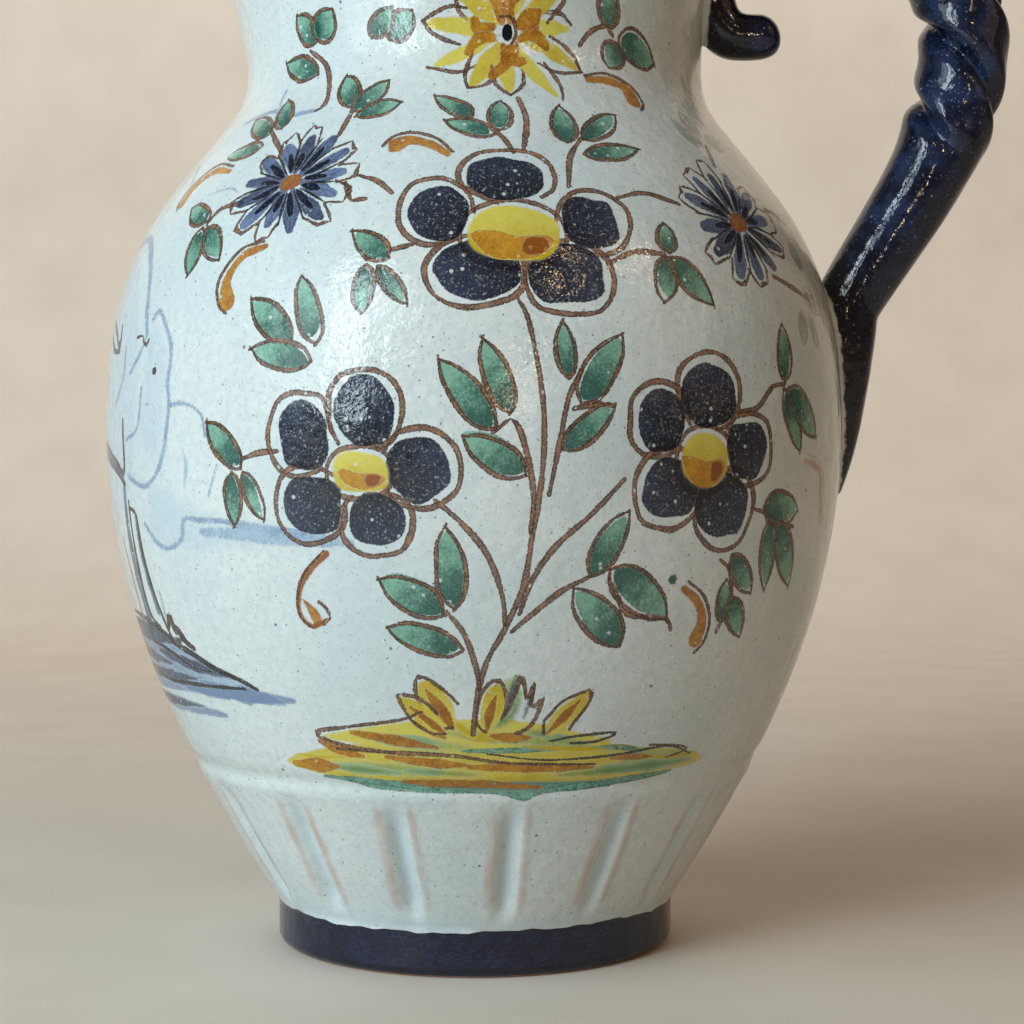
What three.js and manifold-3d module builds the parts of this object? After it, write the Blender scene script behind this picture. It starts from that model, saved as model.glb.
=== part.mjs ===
// A tin-glazed jug, thrown and turned on a wheel: a low foot, a fluted lower body, a round belly and a
// waisted neck that is pulled out into a spout. The handle is two clay strands twisted together. They
// run out into one round stem, which is pressed down the belly in a tail, and end in a curl on the neck.
// Millimetres. The axis of the jug is Z and it stands on Z = 0. The spout is towards -X and the handle
// towards +X.
import * as THREE from 'three';
import { mergeVertices } from 'three/addons/utils/BufferGeometryUtils.js';
import Module from 'manifold-3d';

// Heights of the body's bands, one on top of the other
const FOOT_HEIGHT = 11.2;
const FLUTED_HEIGHT = 36.8;
const BELLY_RISE = 86;
const SHOULDER_RISE = 89;
const NECK_RISE = 65;

// Outer radii where the bands meet
const FOOT_RADIUS = 51.2;
const RIDGE_RADIUS = 72.7;
const BELLY_RADIUS = 95;
const NECK_RADIUS = 58.9;
const RIM_RADIUS = 68;

// Clay thickness
const WALL = 6;
const FLOOR = 8;
const LIP_ROUNDING = 1.6;
const FOOT_ROUNDING = 2.6;

// Spout: how far the rim is pulled out past its round shape, and the pull's half angle at the rim
const SPOUT_REACH = 15;
const SPOUT_SPREAD = 34;

// Flutes, hollows cut down the lower body
const FLUTE_COUNT = 16;
const FLUTE_WIDTH = 7.5;
const FLUTE_DEPTH = 2;
const FLUTE_TURN = 6.9;
const FLUTE_INSET = 3.2;

// Handle: its reach past the belly, and where its two roots sit, as shares of the bands they are on
const HANDLE_REACH = 33.5;
const LOWER_ROOT_SHARE = 0.35;
const UPPER_ROOT_SHARE = 0.5;
const STRAND_WIDTH = 20;
const STRAND_THICKNESS = 13.2;
const STRAND_SPACING = 9.8;
const TWIST_PITCH = 47;
const STEM_RADIUS = 10.3;
const STEM_LENGTH = 54.5;
const TAIL_LENGTH = 50;
const CURL_RADIUS = 6.5;
const CURL_DROP = 20.3;
const CURL_REACH = 20.6;

const GLAZE = { color: 0xd8dcd6, roughness: 0.18, metalness: 0 };
const SIDES_PER_FLUTE = 5;
const INNER_SIDES = 36;
const TUBE_SIDES = 12;
const ROPE_STEPS = 12;

// Corners of the twisted strands' section, closer together by the clefts at 90 and 270 degrees
const ROPE_ANGLES = [0, 30, 58, 80, 90, 100, 122, 150].flatMap((angle) => [angle, angle + 180])
  .sort((one, other) => one - other)
  .map(THREE.MathUtils.degToRad);

const footTop = FOOT_HEIGHT;
const ridge = footTop + FLUTED_HEIGHT;
const belly = ridge + BELLY_RISE;
const neck = belly + SHOULDER_RISE;
const rim = neck + NECK_RISE;

const mix = THREE.MathUtils.lerp;
const { clamp, smoothstep } = THREE.MathUtils;
const shares = (count) => Array.from({ length: count }, (_, index) => (index + 1) / count);

// Outline of the body from the top of the foot to the rim, as [radius, height]
function bodyOutline() {
  const fluted = shares(7).map((s) => [mix(FOOT_RADIUS, RIDGE_RADIUS, s + 0.12 * s * (1 - s)),
    mix(footTop, ridge, s)]);
  const swell = shares(7).map((s) => [mix(RIDGE_RADIUS, BELLY_RADIUS, 1 - (1 - s) ** 2),
    mix(ridge, belly, s)]);
  const shoulderShape = new THREE.SplineCurve([
    [0, 1], [0.22, 0.964], [0.394, 0.859], [0.544, 0.698], [0.648, 0.524], [0.771, 0.288], [0.867, 0.1],
    [0.935, 0.022], [1, 0],
  ].map(([x, y]) => new THREE.Vector2(x, y)));
  const shoulder = shoulderShape.getPoints(10).slice(1)
    .map(({ x, y }) => [mix(NECK_RADIUS, BELLY_RADIUS, y), mix(belly, neck, x)]);
  const throat = shares(5).map((s) => [mix(NECK_RADIUS, RIM_RADIUS, s ** 1.8), mix(neck, rim, s)]);
  return [[FOOT_RADIUS, footTop], ...fluted, ...swell, ...shoulder, ...throat];
}

const outline = bodyOutline();

// Outer radius of the body at a height, before the spout is pulled out
function radiusAt(height) {
  const above = clamp(outline.findIndex(([, z]) => z >= height), 1, outline.length - 1);
  const [lowRadius, low] = outline[above - 1];
  const [highRadius, high] = outline[above];
  return mix(lowRadius, highRadius, clamp((height - low) / (high - low), 0, 1));
}

// How far the spout moves the wall outwards, at a height and a direction around the axis. The pull is
// broad where it starts in the neck, and narrow at the rim.
function spoutPull(height, direction) {
  const rise = clamp((height - neck) / NECK_RISE, 0, 1);
  const spread = THREE.MathUtils.degToRad(mix(2, 1, rise) * SPOUT_SPREAD);
  const away = Math.PI - Math.abs(direction);
  return SPOUT_REACH * rise ** 1.4 * Math.exp(-((away / spread) ** 2));
}

// A flute's depth along its length: full in the middle, and rounded off at both ends
function fluteLengthwise(height) {
  const start = footTop + FLUTE_INSET;
  const end = ridge - FLUTE_INSET;
  const fromEnd = Math.min(height - start, end - height);
  return Math.sqrt(1 - (1 - clamp(fromEnd / FLUTE_WIDTH, 0, 1)) ** 2);
}

// A closed solid of revolution, with its corners moved by a function of radius, height and direction
function turned(profile, sides, move) {
  const points = profile.map(([radius, height]) => new THREE.Vector2(radius, height));
  const geometry = new THREE.LatheGeometry(points, sides);
  geometry.rotateX(Math.PI / 2);
  const position = geometry.attributes.position;
  for (let index = 0; index < position.count; index += 1) {
    const [x, y, height] = [position.getX(index), position.getY(index), position.getZ(index)];
    const radius = Math.hypot(x, y);
    if (radius > 1e-6) {
      const [newRadius, direction] = move(radius, height, Math.atan2(y, x));
      position.setXYZ(index, newRadius * Math.cos(direction), newRadius * Math.sin(direction), height);
    }
  }
  return geometry;
}

// Moves an outer corner: around the axis, so that corners fall on the flutes' edges, and in or out
function shapeOutside(radius, height, direction) {
  const fluteAngle = (2 * Math.PI) / FLUTE_COUNT;
  const turn = THREE.MathUtils.degToRad(FLUTE_TURN - 90);
  const place = (direction - turn) / fluteAngle;
  const flute = Math.round(place);
  const step = Math.round((place - flute) * SIDES_PER_FLUTE);
  const halfWidth = FLUTE_WIDTH / 2 / Math.max(radius, FOOT_RADIUS);
  const gathered = Math.sign(step) * halfWidth * (Math.abs(step) === 1 ? 0.5 : 1.05);
  const even = (step * fluteAngle) / SIDES_PER_FLUTE;
  const spread = height > footTop ? smoothstep(height, ridge, belly) : 1;
  const offset = mix(gathered, even, spread);
  const across = clamp(Math.abs(offset) / halfWidth, 0, 1);
  const depth = FLUTE_DEPTH * fluteLengthwise(height) * Math.cos((Math.PI / 2) * across) ** 2;
  const inside = radius < FOOT_RADIUS - FOOT_ROUNDING;
  const moved = turn + flute * fluteAngle + offset;
  return [radius + (inside ? 0 : spoutPull(height, moved) - depth), moved];
}

function shapeInside(radius, height, direction) {
  return [radius + spoutPull(height, direction), direction];
}

function outerBody() {
  const foot = [
    [0, 0],
    [FOOT_RADIUS - FOOT_ROUNDING, 0],
    [FOOT_RADIUS - FOOT_ROUNDING * 0.29, FOOT_ROUNDING * 0.29],
    [FOOT_RADIUS, FOOT_ROUNDING],
  ];
  const wall = outline.slice(0, -1);
  const lip = [
    [RIM_RADIUS, rim - LIP_ROUNDING],
    [RIM_RADIUS - LIP_ROUNDING, rim],
    [0, rim],
  ];
  return turned([...foot, ...wall, ...lip], FLUTE_COUNT * SIDES_PER_FLUTE, shapeOutside);
}

// The hollow inside, which runs on above the rim so that it cuts the mouth open
function hollow() {
  const bottom = footTop + FLOOR;
  const wall = outline.filter(([, z]) => z > bottom + WALL && z < rim - LIP_ROUNDING)
    .filter((_, index) => index % 2 === 0)
    .map(([radius, z]) => [radius - WALL, z]);
  const floorRadius = radiusAt(bottom) - WALL;
  const floor = [
    [0, bottom],
    [floorRadius - WALL, bottom],
    [floorRadius, bottom + WALL / 2],
  ];
  const mouth = [
    [RIM_RADIUS - WALL, rim - LIP_ROUNDING],
    [RIM_RADIUS - WALL + LIP_ROUNDING, rim],
    [RIM_RADIUS - WALL + LIP_ROUNDING, rim + WALL],
    [0, rim + WALL],
  ];
  return turned([...floor, ...wall, ...mouth], INNER_SIDES, shapeInside);
}

// A closed tube along a curve that lies in the plane of the handle. A function of the share of the length
// gives its section, as points [outwards, sideways].
function tube(curve, steps, section) {
  const sideways = new THREE.Vector3(0, 1, 0);
  const vertices = [curve.getPointAt(0)];
  for (let step = 0; step <= steps; step += 1) {
    const centre = curve.getPointAt(step / steps);
    const outwards = new THREE.Vector3().crossVectors(sideways, curve.getTangentAt(step / steps));
    section(step / steps).forEach(([out, side]) => vertices.push(
      centre.clone().addScaledVector(outwards, out).addScaledVector(sideways, side),
    ));
  }
  const last = vertices.push(curve.getPointAt(1)) - 1;
  const sides = (last - 1) / (steps + 1);
  const corner = (step, side) => 1 + step * sides + (side % sides);
  const triangles = [];
  for (let side = 0; side < sides; side += 1) {
    triangles.push(0, corner(0, side + 1), corner(0, side));
    for (let step = 0; step < steps; step += 1) {
      triangles.push(corner(step, side), corner(step, side + 1), corner(step + 1, side + 1));
      triangles.push(corner(step, side), corner(step + 1, side + 1), corner(step + 1, side));
    }
    triangles.push(last, corner(steps, side), corner(steps, side + 1));
  }
  const geometry = new THREE.BufferGeometry().setFromPoints(vertices);
  geometry.setIndex(triangles);
  return geometry;
}

function circle(radius) {
  return shares(TUBE_SIDES).map((s) => [radius * Math.cos(2 * Math.PI * s), radius * Math.sin(2 * Math.PI * s)]);
}

const inPlane = ([x, z]) => new THREE.Vector3(x, 0, z);
const lowerRoot = mix(belly, neck, LOWER_ROOT_SHARE);
const upperRoot = mix(neck, rim, UPPER_ROOT_SHARE);

// Centre line of the handle, in the plane through the axis, from the belly up and over to the neck
function handlePath() {
  const lowerRadius = radiusAt(lowerRoot);
  const upperRadius = radiusAt(upperRoot);
  const reach = BELLY_RADIUS + HANDLE_REACH;
  const rise = upperRoot - lowerRoot;
  const crest = lowerRoot + 0.78 * rise;
  const path = new THREE.CurvePath();
  path.add(new THREE.CubicBezierCurve3(
    inPlane([lowerRadius + 0.25 * STEM_RADIUS, lowerRoot - 0.7 * STEM_RADIUS]),
    inPlane([lowerRadius + 0.52 * HANDLE_REACH, lowerRoot + 0.23 * rise]),
    inPlane([reach, lowerRoot + 0.44 * rise]),
    inPlane([reach, crest]),
  ));
  path.add(new THREE.CubicBezierCurve3(
    inPlane([reach, crest]),
    inPlane([reach, crest + 0.34 * rise]),
    inPlane([mix(upperRadius, reach, 0.36), upperRoot + 0.29 * rise]),
    inPlane([upperRadius, upperRoot]),
  ));
  return path;
}

// Radius of the two strands' joint outline, at an angle from the middle of one of them. Each strand is an
// oval that is wider along the cleft than across it.
function strandsRadius(angle) {
  const across = Math.abs(Math.cos(angle)) / (STRAND_THICKNESS / 2);
  const along = Math.sin(angle) / (STRAND_WIDTH / 2);
  const shift = STRAND_SPACING / STRAND_THICKNESS;
  const square = across ** 2 + along ** 2;
  return (across * shift + Math.sqrt((across * shift) ** 2 + square * (1 - shift ** 2))) / square;
}

// The handle: a round stem that divides into two strands, which wind left-handed up to the neck
function handle() {
  const path = handlePath();
  const length = path.getLength();
  const section = (share) => {
    const twisted = share * length - STEM_LENGTH;
    const angle = (2 * Math.PI * Math.max(twisted, 0)) / TWIST_PITCH;
    const divided = smoothstep(twisted, -0.1 * TWIST_PITCH, 0.17 * TWIST_PITCH);
    const stem = STEM_RADIUS * (0.82 + (0.22 * share * length) / STEM_LENGTH);
    return ROPE_ANGLES.map((around) => {
      const radius = mix(stem, strandsRadius(around), divided);
      return [radius * Math.cos(around - angle), radius * Math.sin(around - angle)];
    });
  };
  return tube(path, Math.round((length / TWIST_PITCH) * ROPE_STEPS), section);
}

// The stem's end, pressed down the belly and thinning away
function tail() {
  const points = [[0, 0.5], [0.12, 0.35], [0.3, 0.15], [0.5, 0.02], [0.75, -0.07], [1, -0.08]];
  const line = points.map(([along, lift]) => {
    const height = lowerRoot - along * TAIL_LENGTH;
    return inPlane([radiusAt(height) + lift * STEM_RADIUS, height]);
  });
  const section = (share) => circle(STEM_RADIUS * (0.93 - 0.25 * share - 0.4 * share ** 3));
  return tube(new THREE.CatmullRomCurve3(line), 12, section);
}

// The curl under the upper root: down the neck, then out to a round end
function curl() {
  const points = [[0, 0], [0.04, 0.37], [0.12, 0.68], [0.32, 0.95], [0.56, 1], [0.8, 0.985], [1, 0.93]];
  const line = points.map(([across, down]) => {
    const height = upperRoot - down * CURL_DROP;
    return inPlane([radiusAt(height) + across * CURL_REACH, height]);
  });
  const section = (share) => {
    const rounding = Math.sqrt(1 - Math.max((share - 0.86) / 0.142, 0) ** 2);
    return circle(CURL_RADIUS * (1.1 - 0.22 * share) * rounding);
  };
  return tube(new THREE.CatmullRomCurve3(line), 20, section);
}

const wasm = await Module();
wasm.setup();

function solid(geometry) {
  geometry.deleteAttribute('normal');
  geometry.deleteAttribute('uv');
  const merged = mergeVertices(geometry, 1e-4);
  return new wasm.Manifold(new wasm.Mesh({
    numProp: 3,
    vertProperties: merged.attributes.position.array,
    triVerts: Uint32Array.from(merged.index.array),
  }));
}

function geometryOf(manifold) {
  const mesh = manifold.getMesh();
  const geometry = new THREE.BufferGeometry();
  geometry.setAttribute('position', new THREE.BufferAttribute(mesh.vertProperties, 3));
  geometry.setIndex(new THREE.BufferAttribute(mesh.triVerts, 1));
  geometry.computeVertexNormals();
  return geometry;
}

function jug() {
  const whole = [handle(), tail(), curl()]
    .reduce((sum, geometry) => sum.add(solid(geometry)), solid(outerBody()));
  const mesh = new THREE.Mesh(geometryOf(whole.subtract(solid(hollow()))), new THREE.MeshStandardMaterial(GLAZE));
  mesh.name = 'jug';
  return mesh;
}

const part = new THREE.Group();
part.add(jug());

export default part;
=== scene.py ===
import bpy
import numpy as np
from mathutils import Euler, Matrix, Vector, kdtree, noise
from mathutils.geometry import delaunay_2d_cdt


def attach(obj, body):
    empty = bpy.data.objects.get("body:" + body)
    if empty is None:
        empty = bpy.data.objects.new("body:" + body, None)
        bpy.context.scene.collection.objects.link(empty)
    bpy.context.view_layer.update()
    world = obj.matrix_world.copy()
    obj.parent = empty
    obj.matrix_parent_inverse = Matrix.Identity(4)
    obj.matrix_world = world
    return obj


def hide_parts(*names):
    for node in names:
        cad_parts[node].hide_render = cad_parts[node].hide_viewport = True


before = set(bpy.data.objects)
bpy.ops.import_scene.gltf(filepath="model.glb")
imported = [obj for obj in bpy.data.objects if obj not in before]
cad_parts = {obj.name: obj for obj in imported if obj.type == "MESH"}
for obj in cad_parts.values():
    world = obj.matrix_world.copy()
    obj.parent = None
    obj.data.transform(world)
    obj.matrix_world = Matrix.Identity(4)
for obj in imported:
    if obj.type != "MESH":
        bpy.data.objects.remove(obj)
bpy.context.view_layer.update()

MM = 0.001
NOISE_SEED = 5

# Without a seed, Blender's vector noise is different in each run
noise.seed_set(NOISE_SEED)

# Sizes of the body, as the solids have them
FOOT_TOP = 11.2
RIDGE = 48
BELLY = 134
NECK = 223
RIM = 288
FOOT_RADIUS = 51.2
RIDGE_RADIUS = 72.7
BELLY_RADIUS = 95
NECK_RADIUS = 58.9
RIM_RADIUS = 68
WALL = 6
FLOOR = 8
LIP_ROUNDING = 1.6
FOOT_ROUNDING = 2.6
SPOUT_REACH = 15
SPOUT_SPREAD = 34
FLUTE_COUNT = 16
FLUTE_WIDTH = 7.5
FLUTE_DEPTH = 2
FLUTE_TURN = 6.9
FLUTE_INSET = 3.2
SHOULDER_SHAPE = [(0, 1), (0.22, 0.964), (0.394, 0.859), (0.544, 0.698), (0.648, 0.524), (0.771, 0.288),
                  (0.867, 0.1), (0.935, 0.022), (1, 0)]

# How the outline runs between those sizes: its steps, how many steps a joint is eased over, the curves of
# its bands, and the crease and the bead at the ridge as (height over the ridge, width, how far it stands out)
PROFILE_STEP = 0.25
EASED_STEPS = 20
FLUTED_SWELL = 0.12
THROAT_CURVE = 1.8
SPOUT_CURVE = 1.4
RIDGE_WAVES = [(0.8, 1.6, -0.6), (-3, 2, 0.3)]

# Sizes of the handle, as the solids have them
HANDLE_REACH = 33.5
LOWER_ROOT = BELLY + 0.35 * (NECK - BELLY)
UPPER_ROOT = NECK + 0.5 * (RIM - NECK)
STRAND_WIDTH = 20
STRAND_THICKNESS = 13.2
STRAND_SPACING = 9.8
TWIST_PITCH = 47
STEM_RADIUS = 10.3
STEM_LENGTH = 54.5
TAIL_LENGTH = 50
CURL_RADIUS = 6.5
CURL_DROP = 20.3
CURL_REACH = 20.6

# The handle's mesh: steps along a tube and points round it, a voxel, rounds of smoothing, the depth in the
# wall where it is cut off, and the slabs of wall that its fillets run out on, as (lowest, highest, half the
# angle)
TUBE_STEP = 0.9
TUBE_SIDES = 80
VOXEL = 0.65
SMOOTHING = 12
CUT_OFF = -0.6
TAIL_PATCH = (100, 192, 17)
CURL_PATCH = (222, 268, 21)

# The body's mesh: the seam, which is under the handle, the angles of the columns, the spacing of the rows
SEAM = -270
COLUMNS = 192
COLUMN_ANGLES = SEAM + np.arange(COLUMNS + 1) * 360 / COLUMNS
ROW = 2.6

# The steps along a painted line, how far other points stay off it, and the rings inside a painted area
MARK_STEP = 1.55
CLEARANCE = 0.8
RING_INSETS = (0.9, 2.2, 3.6)

# The rows down the inside, the rows under the foot that have its blue glaze, and a degree's width on the
# sheet
INNER_ROWS = 24
EDGE_ROWS = 3
DEGREE = np.radians(1) * BELLY_RADIUS

# An unsteady hand: how far a line strays, where it has no wobble of its own, how much its width changes, and
# over how many millimetres each goes to and fro
WOBBLE = 0.35
WOBBLE_LENGTH = 6
SWELLING = 0.3
SWELL_LENGTH = 4

# Camera: its place, its turns in degrees, and its lens and sensor
EYE = (0, -520, 115)
TILT, TURN = 89.508, -1.062
LENS = 69.62
SENSOR = 36


def mix(low, high, share):
    return low + (high - low) * share


def smoothstep(value, low, high):
    share = np.clip((value - low) / (high - low), 0, 1)
    return share * share * (3 - 2 * share)


def hump(offset, width):
    """1 where the offset is nought, and fading to nothing over a width or two"""
    return np.exp(-(offset / width) ** 2)


def round_axis(radius, angle, z):
    """Points in millimetres from their radius, angle and height"""
    turn = np.radians(angle)
    return np.stack([radius * np.sin(turn), -radius * np.cos(turn), z + 0 * turn], axis=-1)


def catmull_rom(points, per_span, closed=False):
    """Points of a smooth curve through the given ones"""
    points = np.asarray(points, float)
    if closed:
        around = np.vstack([points[-1:], points, points[:2]])
    else:
        around = np.vstack([2 * points[0] - points[1], points, 2 * points[-1] - points[-2]])
    share = np.linspace(0, 1, per_span, endpoint=False)[:, None]
    spans = []
    for before, start, end, after in zip(around, around[1:], around[2:], around[3:]):
        bend = 2 * before - 5 * start + 4 * end - after
        cubic = 3 * start - before - 3 * end + after
        spans.append(start + 0.5 * share * (end - before + share * (bend + share * cubic)))
    return np.vstack(spans if closed else spans + [points[-1:]])


def outer_profile():
    """Heights and radii of the body's outline in fine steps, with the joints between its bands eased"""
    z = np.arange(0, RIM + PROFILE_STEP, PROFILE_STEP)
    fluted = np.clip((z - FOOT_TOP) / (RIDGE - FOOT_TOP), 0, 1)
    swell = np.clip((z - RIDGE) / (BELLY - RIDGE), 0, 1)
    curve = catmull_rom(SHOULDER_SHAPE, 12)
    shoulder = np.interp((z - BELLY) / (NECK - BELLY), curve[:, 0], curve[:, 1])
    throat = np.clip((z - NECK) / (RIM - NECK), 0, 1)
    radius = np.select([z < FOOT_TOP, z < RIDGE, z < BELLY, z < NECK], [
        np.full_like(z, FOOT_RADIUS),
        mix(FOOT_RADIUS, RIDGE_RADIUS, fluted + FLUTED_SWELL * fluted * (1 - fluted)),
        mix(RIDGE_RADIUS, BELLY_RADIUS, 1 - (1 - swell) ** 2),
        mix(NECK_RADIUS, BELLY_RADIUS, shoulder),
    ], mix(NECK_RADIUS, RIM_RADIUS, throat ** THROAT_CURVE))
    window = np.hanning(2 * EASED_STEPS + 1)
    padded = np.pad(radius, EASED_STEPS, mode="reflect", reflect_type="odd")
    eased = np.convolve(padded, window / window.sum(), mode="valid")
    radius = mix(radius, eased, smoothstep(z, FOOT_TOP + 3, FOOT_TOP + 9))
    for above, width, swell in RIDGE_WAVES:
        radius = radius + swell * hump(z - RIDGE - above, width)
    return z, radius


PROFILE = outer_profile()


def radius_at(z):
    return np.interp(z, *PROFILE)


def spout_pull(angle, z):
    """How far the spout draws the wall out"""
    rise = np.clip((z - NECK) / (RIM - NECK), 0, 1)
    spread = mix(2, 1, rise) * SPOUT_SPREAD
    return SPOUT_REACH * rise ** SPOUT_CURVE * hump(np.abs(angle + 90), spread)


def flute_offset(angle):
    """Degrees from the middle of the nearest flute"""
    pitch = 360 / FLUTE_COUNT
    return (angle - FLUTE_TURN + pitch / 2) % pitch - pitch / 2


def flute_half(z):
    """Degrees from the middle of a flute to its edge"""
    return np.degrees(FLUTE_WIDTH / 2 / np.maximum(radius_at(z), FOOT_RADIUS))


def flute_depth(angle, z):
    """How deep the flutes are, which grow out of the wall at both ends"""
    across = np.clip(np.abs(flute_offset(angle)) / flute_half(z), 0, 1)
    started = smoothstep(z, FOOT_TOP + 0.5 * FLUTE_INSET, FOOT_TOP + FLUTE_INSET + 0.8 * FLUTE_WIDTH)
    ended = smoothstep(z, RIDGE - FLUTE_INSET - 1.2 * FLUTE_WIDTH, RIDGE - 0.5 * FLUTE_INSET)
    lengthwise = started * (1 - ended)
    return FLUTE_DEPTH * lengthwise * np.cos(np.pi / 2 * across) ** 2


def on_body(angle, z):
    """Points of the body's outside in millimetres"""
    return round_axis(radius_at(z) + spout_pull(angle, z) - flute_depth(angle, z), angle, z)


def body_normals(angle, z):
    """Outward normals of the body's outside"""
    reach = 0.35
    round_it = on_body(angle + reach, z) - on_body(angle - reach, z)
    up_it = on_body(angle, np.minimum(z + reach, RIM)) - on_body(angle, z - reach)
    normal = np.cross(round_it, up_it)
    return normal / np.linalg.norm(normal, axis=-1, keepdims=True)


# Paints, each with a thin colour, a thick colour, how much it covers, how grainy it is, and how many
# millimetres its edge takes to fade in
PAINTS = {
    "line": ((0.34, 0.165, 0.092), (0.045, 0.017, 0.010), 0.96, 1.0, 0.12),
    "dark line": ((0.10, 0.065, 0.055), (0.012, 0.010, 0.012), 0.96, 0.9, 0.2),
    "navy": ((0.018, 0.026, 0.061), (0.003, 0.005, 0.013), 0.98, 0.9, 0.25),
    "blue": ((0.10, 0.155, 0.30), (0.010, 0.018, 0.06), 0.94, 0.8, 0.4),
    "wash": ((0.29, 0.40, 0.52), (0.11, 0.17, 0.30), 0.8, 0.8, 0.8),
    "haze": ((0.42, 0.53, 0.61), (0.32, 0.43, 0.54), 0.35, 0.6, 3.0),
    "slate": ((0.12, 0.17, 0.27), (0.015, 0.021, 0.04), 0.9, 0.9, 1.0),
    "green": ((0.17, 0.37, 0.27), (0.0, 0.070, 0.050), 0.94, 0.6, 0.4),
    "faded green": ((0.27, 0.38, 0.32), (0.07, 0.16, 0.13), 0.65, 0.7, 0.9),
    "yellow": ((0.56, 0.48, 0.06), (0.47, 0.34, 0.002), 0.94, 0.3, 0.7),
    "lime": ((0.34, 0.42, 0.12), (0.09, 0.20, 0.06), 0.85, 0.4, 1.8),
    "ochre": ((0.50, 0.24, 0.018), (0.22, 0.058, 0.004), 0.95, 0.5, 0.5),
    "pink": ((0.52, 0.30, 0.21), (0.36, 0.15, 0.09), 0.75, 0.7, 0.9),
    "foot": ((0.011, 0.015, 0.050), (0.003, 0.004, 0.010), 1.0, 0.2, 0.15),
}

# Leaves as (base, tip, width): the places are (angle, height) and the width is in millimetres
LEAVES = [
    ((-40.1, 223), (-46.1, 230.4), 6), ((-40, 223.5), (-34.8, 230), 7), ((-38, 214.8), (-50.4, 219.8), 5.4),
    ((-24.9, 204.8), (-29.6, 213.4), 5), ((-24.5, 203.3), (-18.6, 211.2), 5.4),
    ((-23.2, 201.7), (-14.4, 205.2), 4.4), ((-42.5, 199.6), (-51.6, 205.2), 4.8),
    ((-39.8, 200.8), (-44.2, 209.2), 4.6), ((-42.3, 196.6), (-51.5, 195.4), 4.8),
    ((-45.8, 178.5), (-52.8, 182.4), 5.2), ((-46.6, 177), (-46.8, 165.4), 5.6),
    ((-45.5, 176.8), (-40.3, 168.4), 5.4), ((-0.3, 200.8), (-8.1, 206.2), 4.6),
    ((3.6, 196), (-5.6, 199.8), 4.6), ((4, 197.4), (5, 205), 4.8), ((16, 194.4), (16.5, 204.4), 5.6),
    ((18.9, 195.6), (28.1, 203.2), 4.8), ((18.4, 191.6), (29.6, 194.2), 4.6),
    ((-11.8, 166.6), (-17.8, 172.8), 5.2), ((-15, 165), (-15.3, 154.8), 4.6),
    ((-13.4, 164.6), (-8.9, 156.2), 3.8), ((-20, 221.6), (-14.6, 228), 6.4),
    ((-24, 222.4), (-19.4, 229), 5.4), ((33, 225.4), (31.5, 237), 5.4), ((35.4, 224.2), (46.8, 219), 8),
    ((34.8, 222.4), (31.8, 216), 6.2), ((28.8, 169), (28.8, 176), 4.8), ((28, 168.2), (26.8, 157.4), 5.2),
    ((28.8, 167.8), (35.1, 157.5), 6), ((2.5, 129), (-4.8, 144.2), 6.2), ((4.5, 132.6), (0.8, 148.8), 5.4),
    ((6.8, 119), (-1.6, 127.8), 6), ((12.3, 140.2), (11.6, 152.8), 3.8), ((13.9, 134.8), (19.8, 149.9), 6.8),
    ((11.6, 124.8), (18.7, 134.6), 5.4), ((-2.9, 90.2), (-3.9, 108.4), 6.2), ((-4.3, 89), (-13.4, 96.6), 6.8),
    ((-1.8, 81), (-12.6, 85.8), 5.6), ((16.1, 97.3), (21.1, 111.6), 5.8), ((18.9, 98.6), (29.2, 87.3), 8),
    ((21.9, 81.4), (13.8, 94.6), 7.5), ((-33.5, 121), (-39.5, 131.6), 5.6),
    ((-35.2, 120), (-35.4, 107.6), 4.8), ((-33.2, 120), (-30.2, 109.4), 4.2),
    ((-25.2, 148.6), (-32.4, 158.6), 6.5), ((-21.7, 148), (-24.5, 162.8), 5.5),
    ((-22.2, 144.2), (-31.9, 147.2), 6), ((49.5, 141.5), (49.7, 154.8), 5.8),
    ((49, 139.6), (53.5, 125.2), 5.4), ((50.4, 140.2), (58.9, 128.6), 7), ((45.1, 112.2), (54.4, 111.6), 7.5),
    ((47, 109), (48.3, 93), 5.5), ((49.4, 109), (55.6, 93.6), 7), ((39.6, 101.3), (45.1, 92.3), 5.4),
    ((40, 85.8), (38.9, 95.6), 4.4), ((40.4, 91.7), (44.7, 82.3), 5.4),
]
FADED_LEAVES = [
    ((47.8, 197.4), (43.2, 203.8), 4.6), ((48.5, 200), (48.8, 207.6), 5), ((50.8, 198.4), (57.6, 201.4), 5.5),
    ((60.8, 169), (60.4, 177), 5), ((58.5, 164), (64.2, 158.8), 5), ((56.8, 159), (55.7, 150.8), 4.5),
    ((59.5, 158.5), (61.2, 149.8), 4.5),
]

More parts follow.
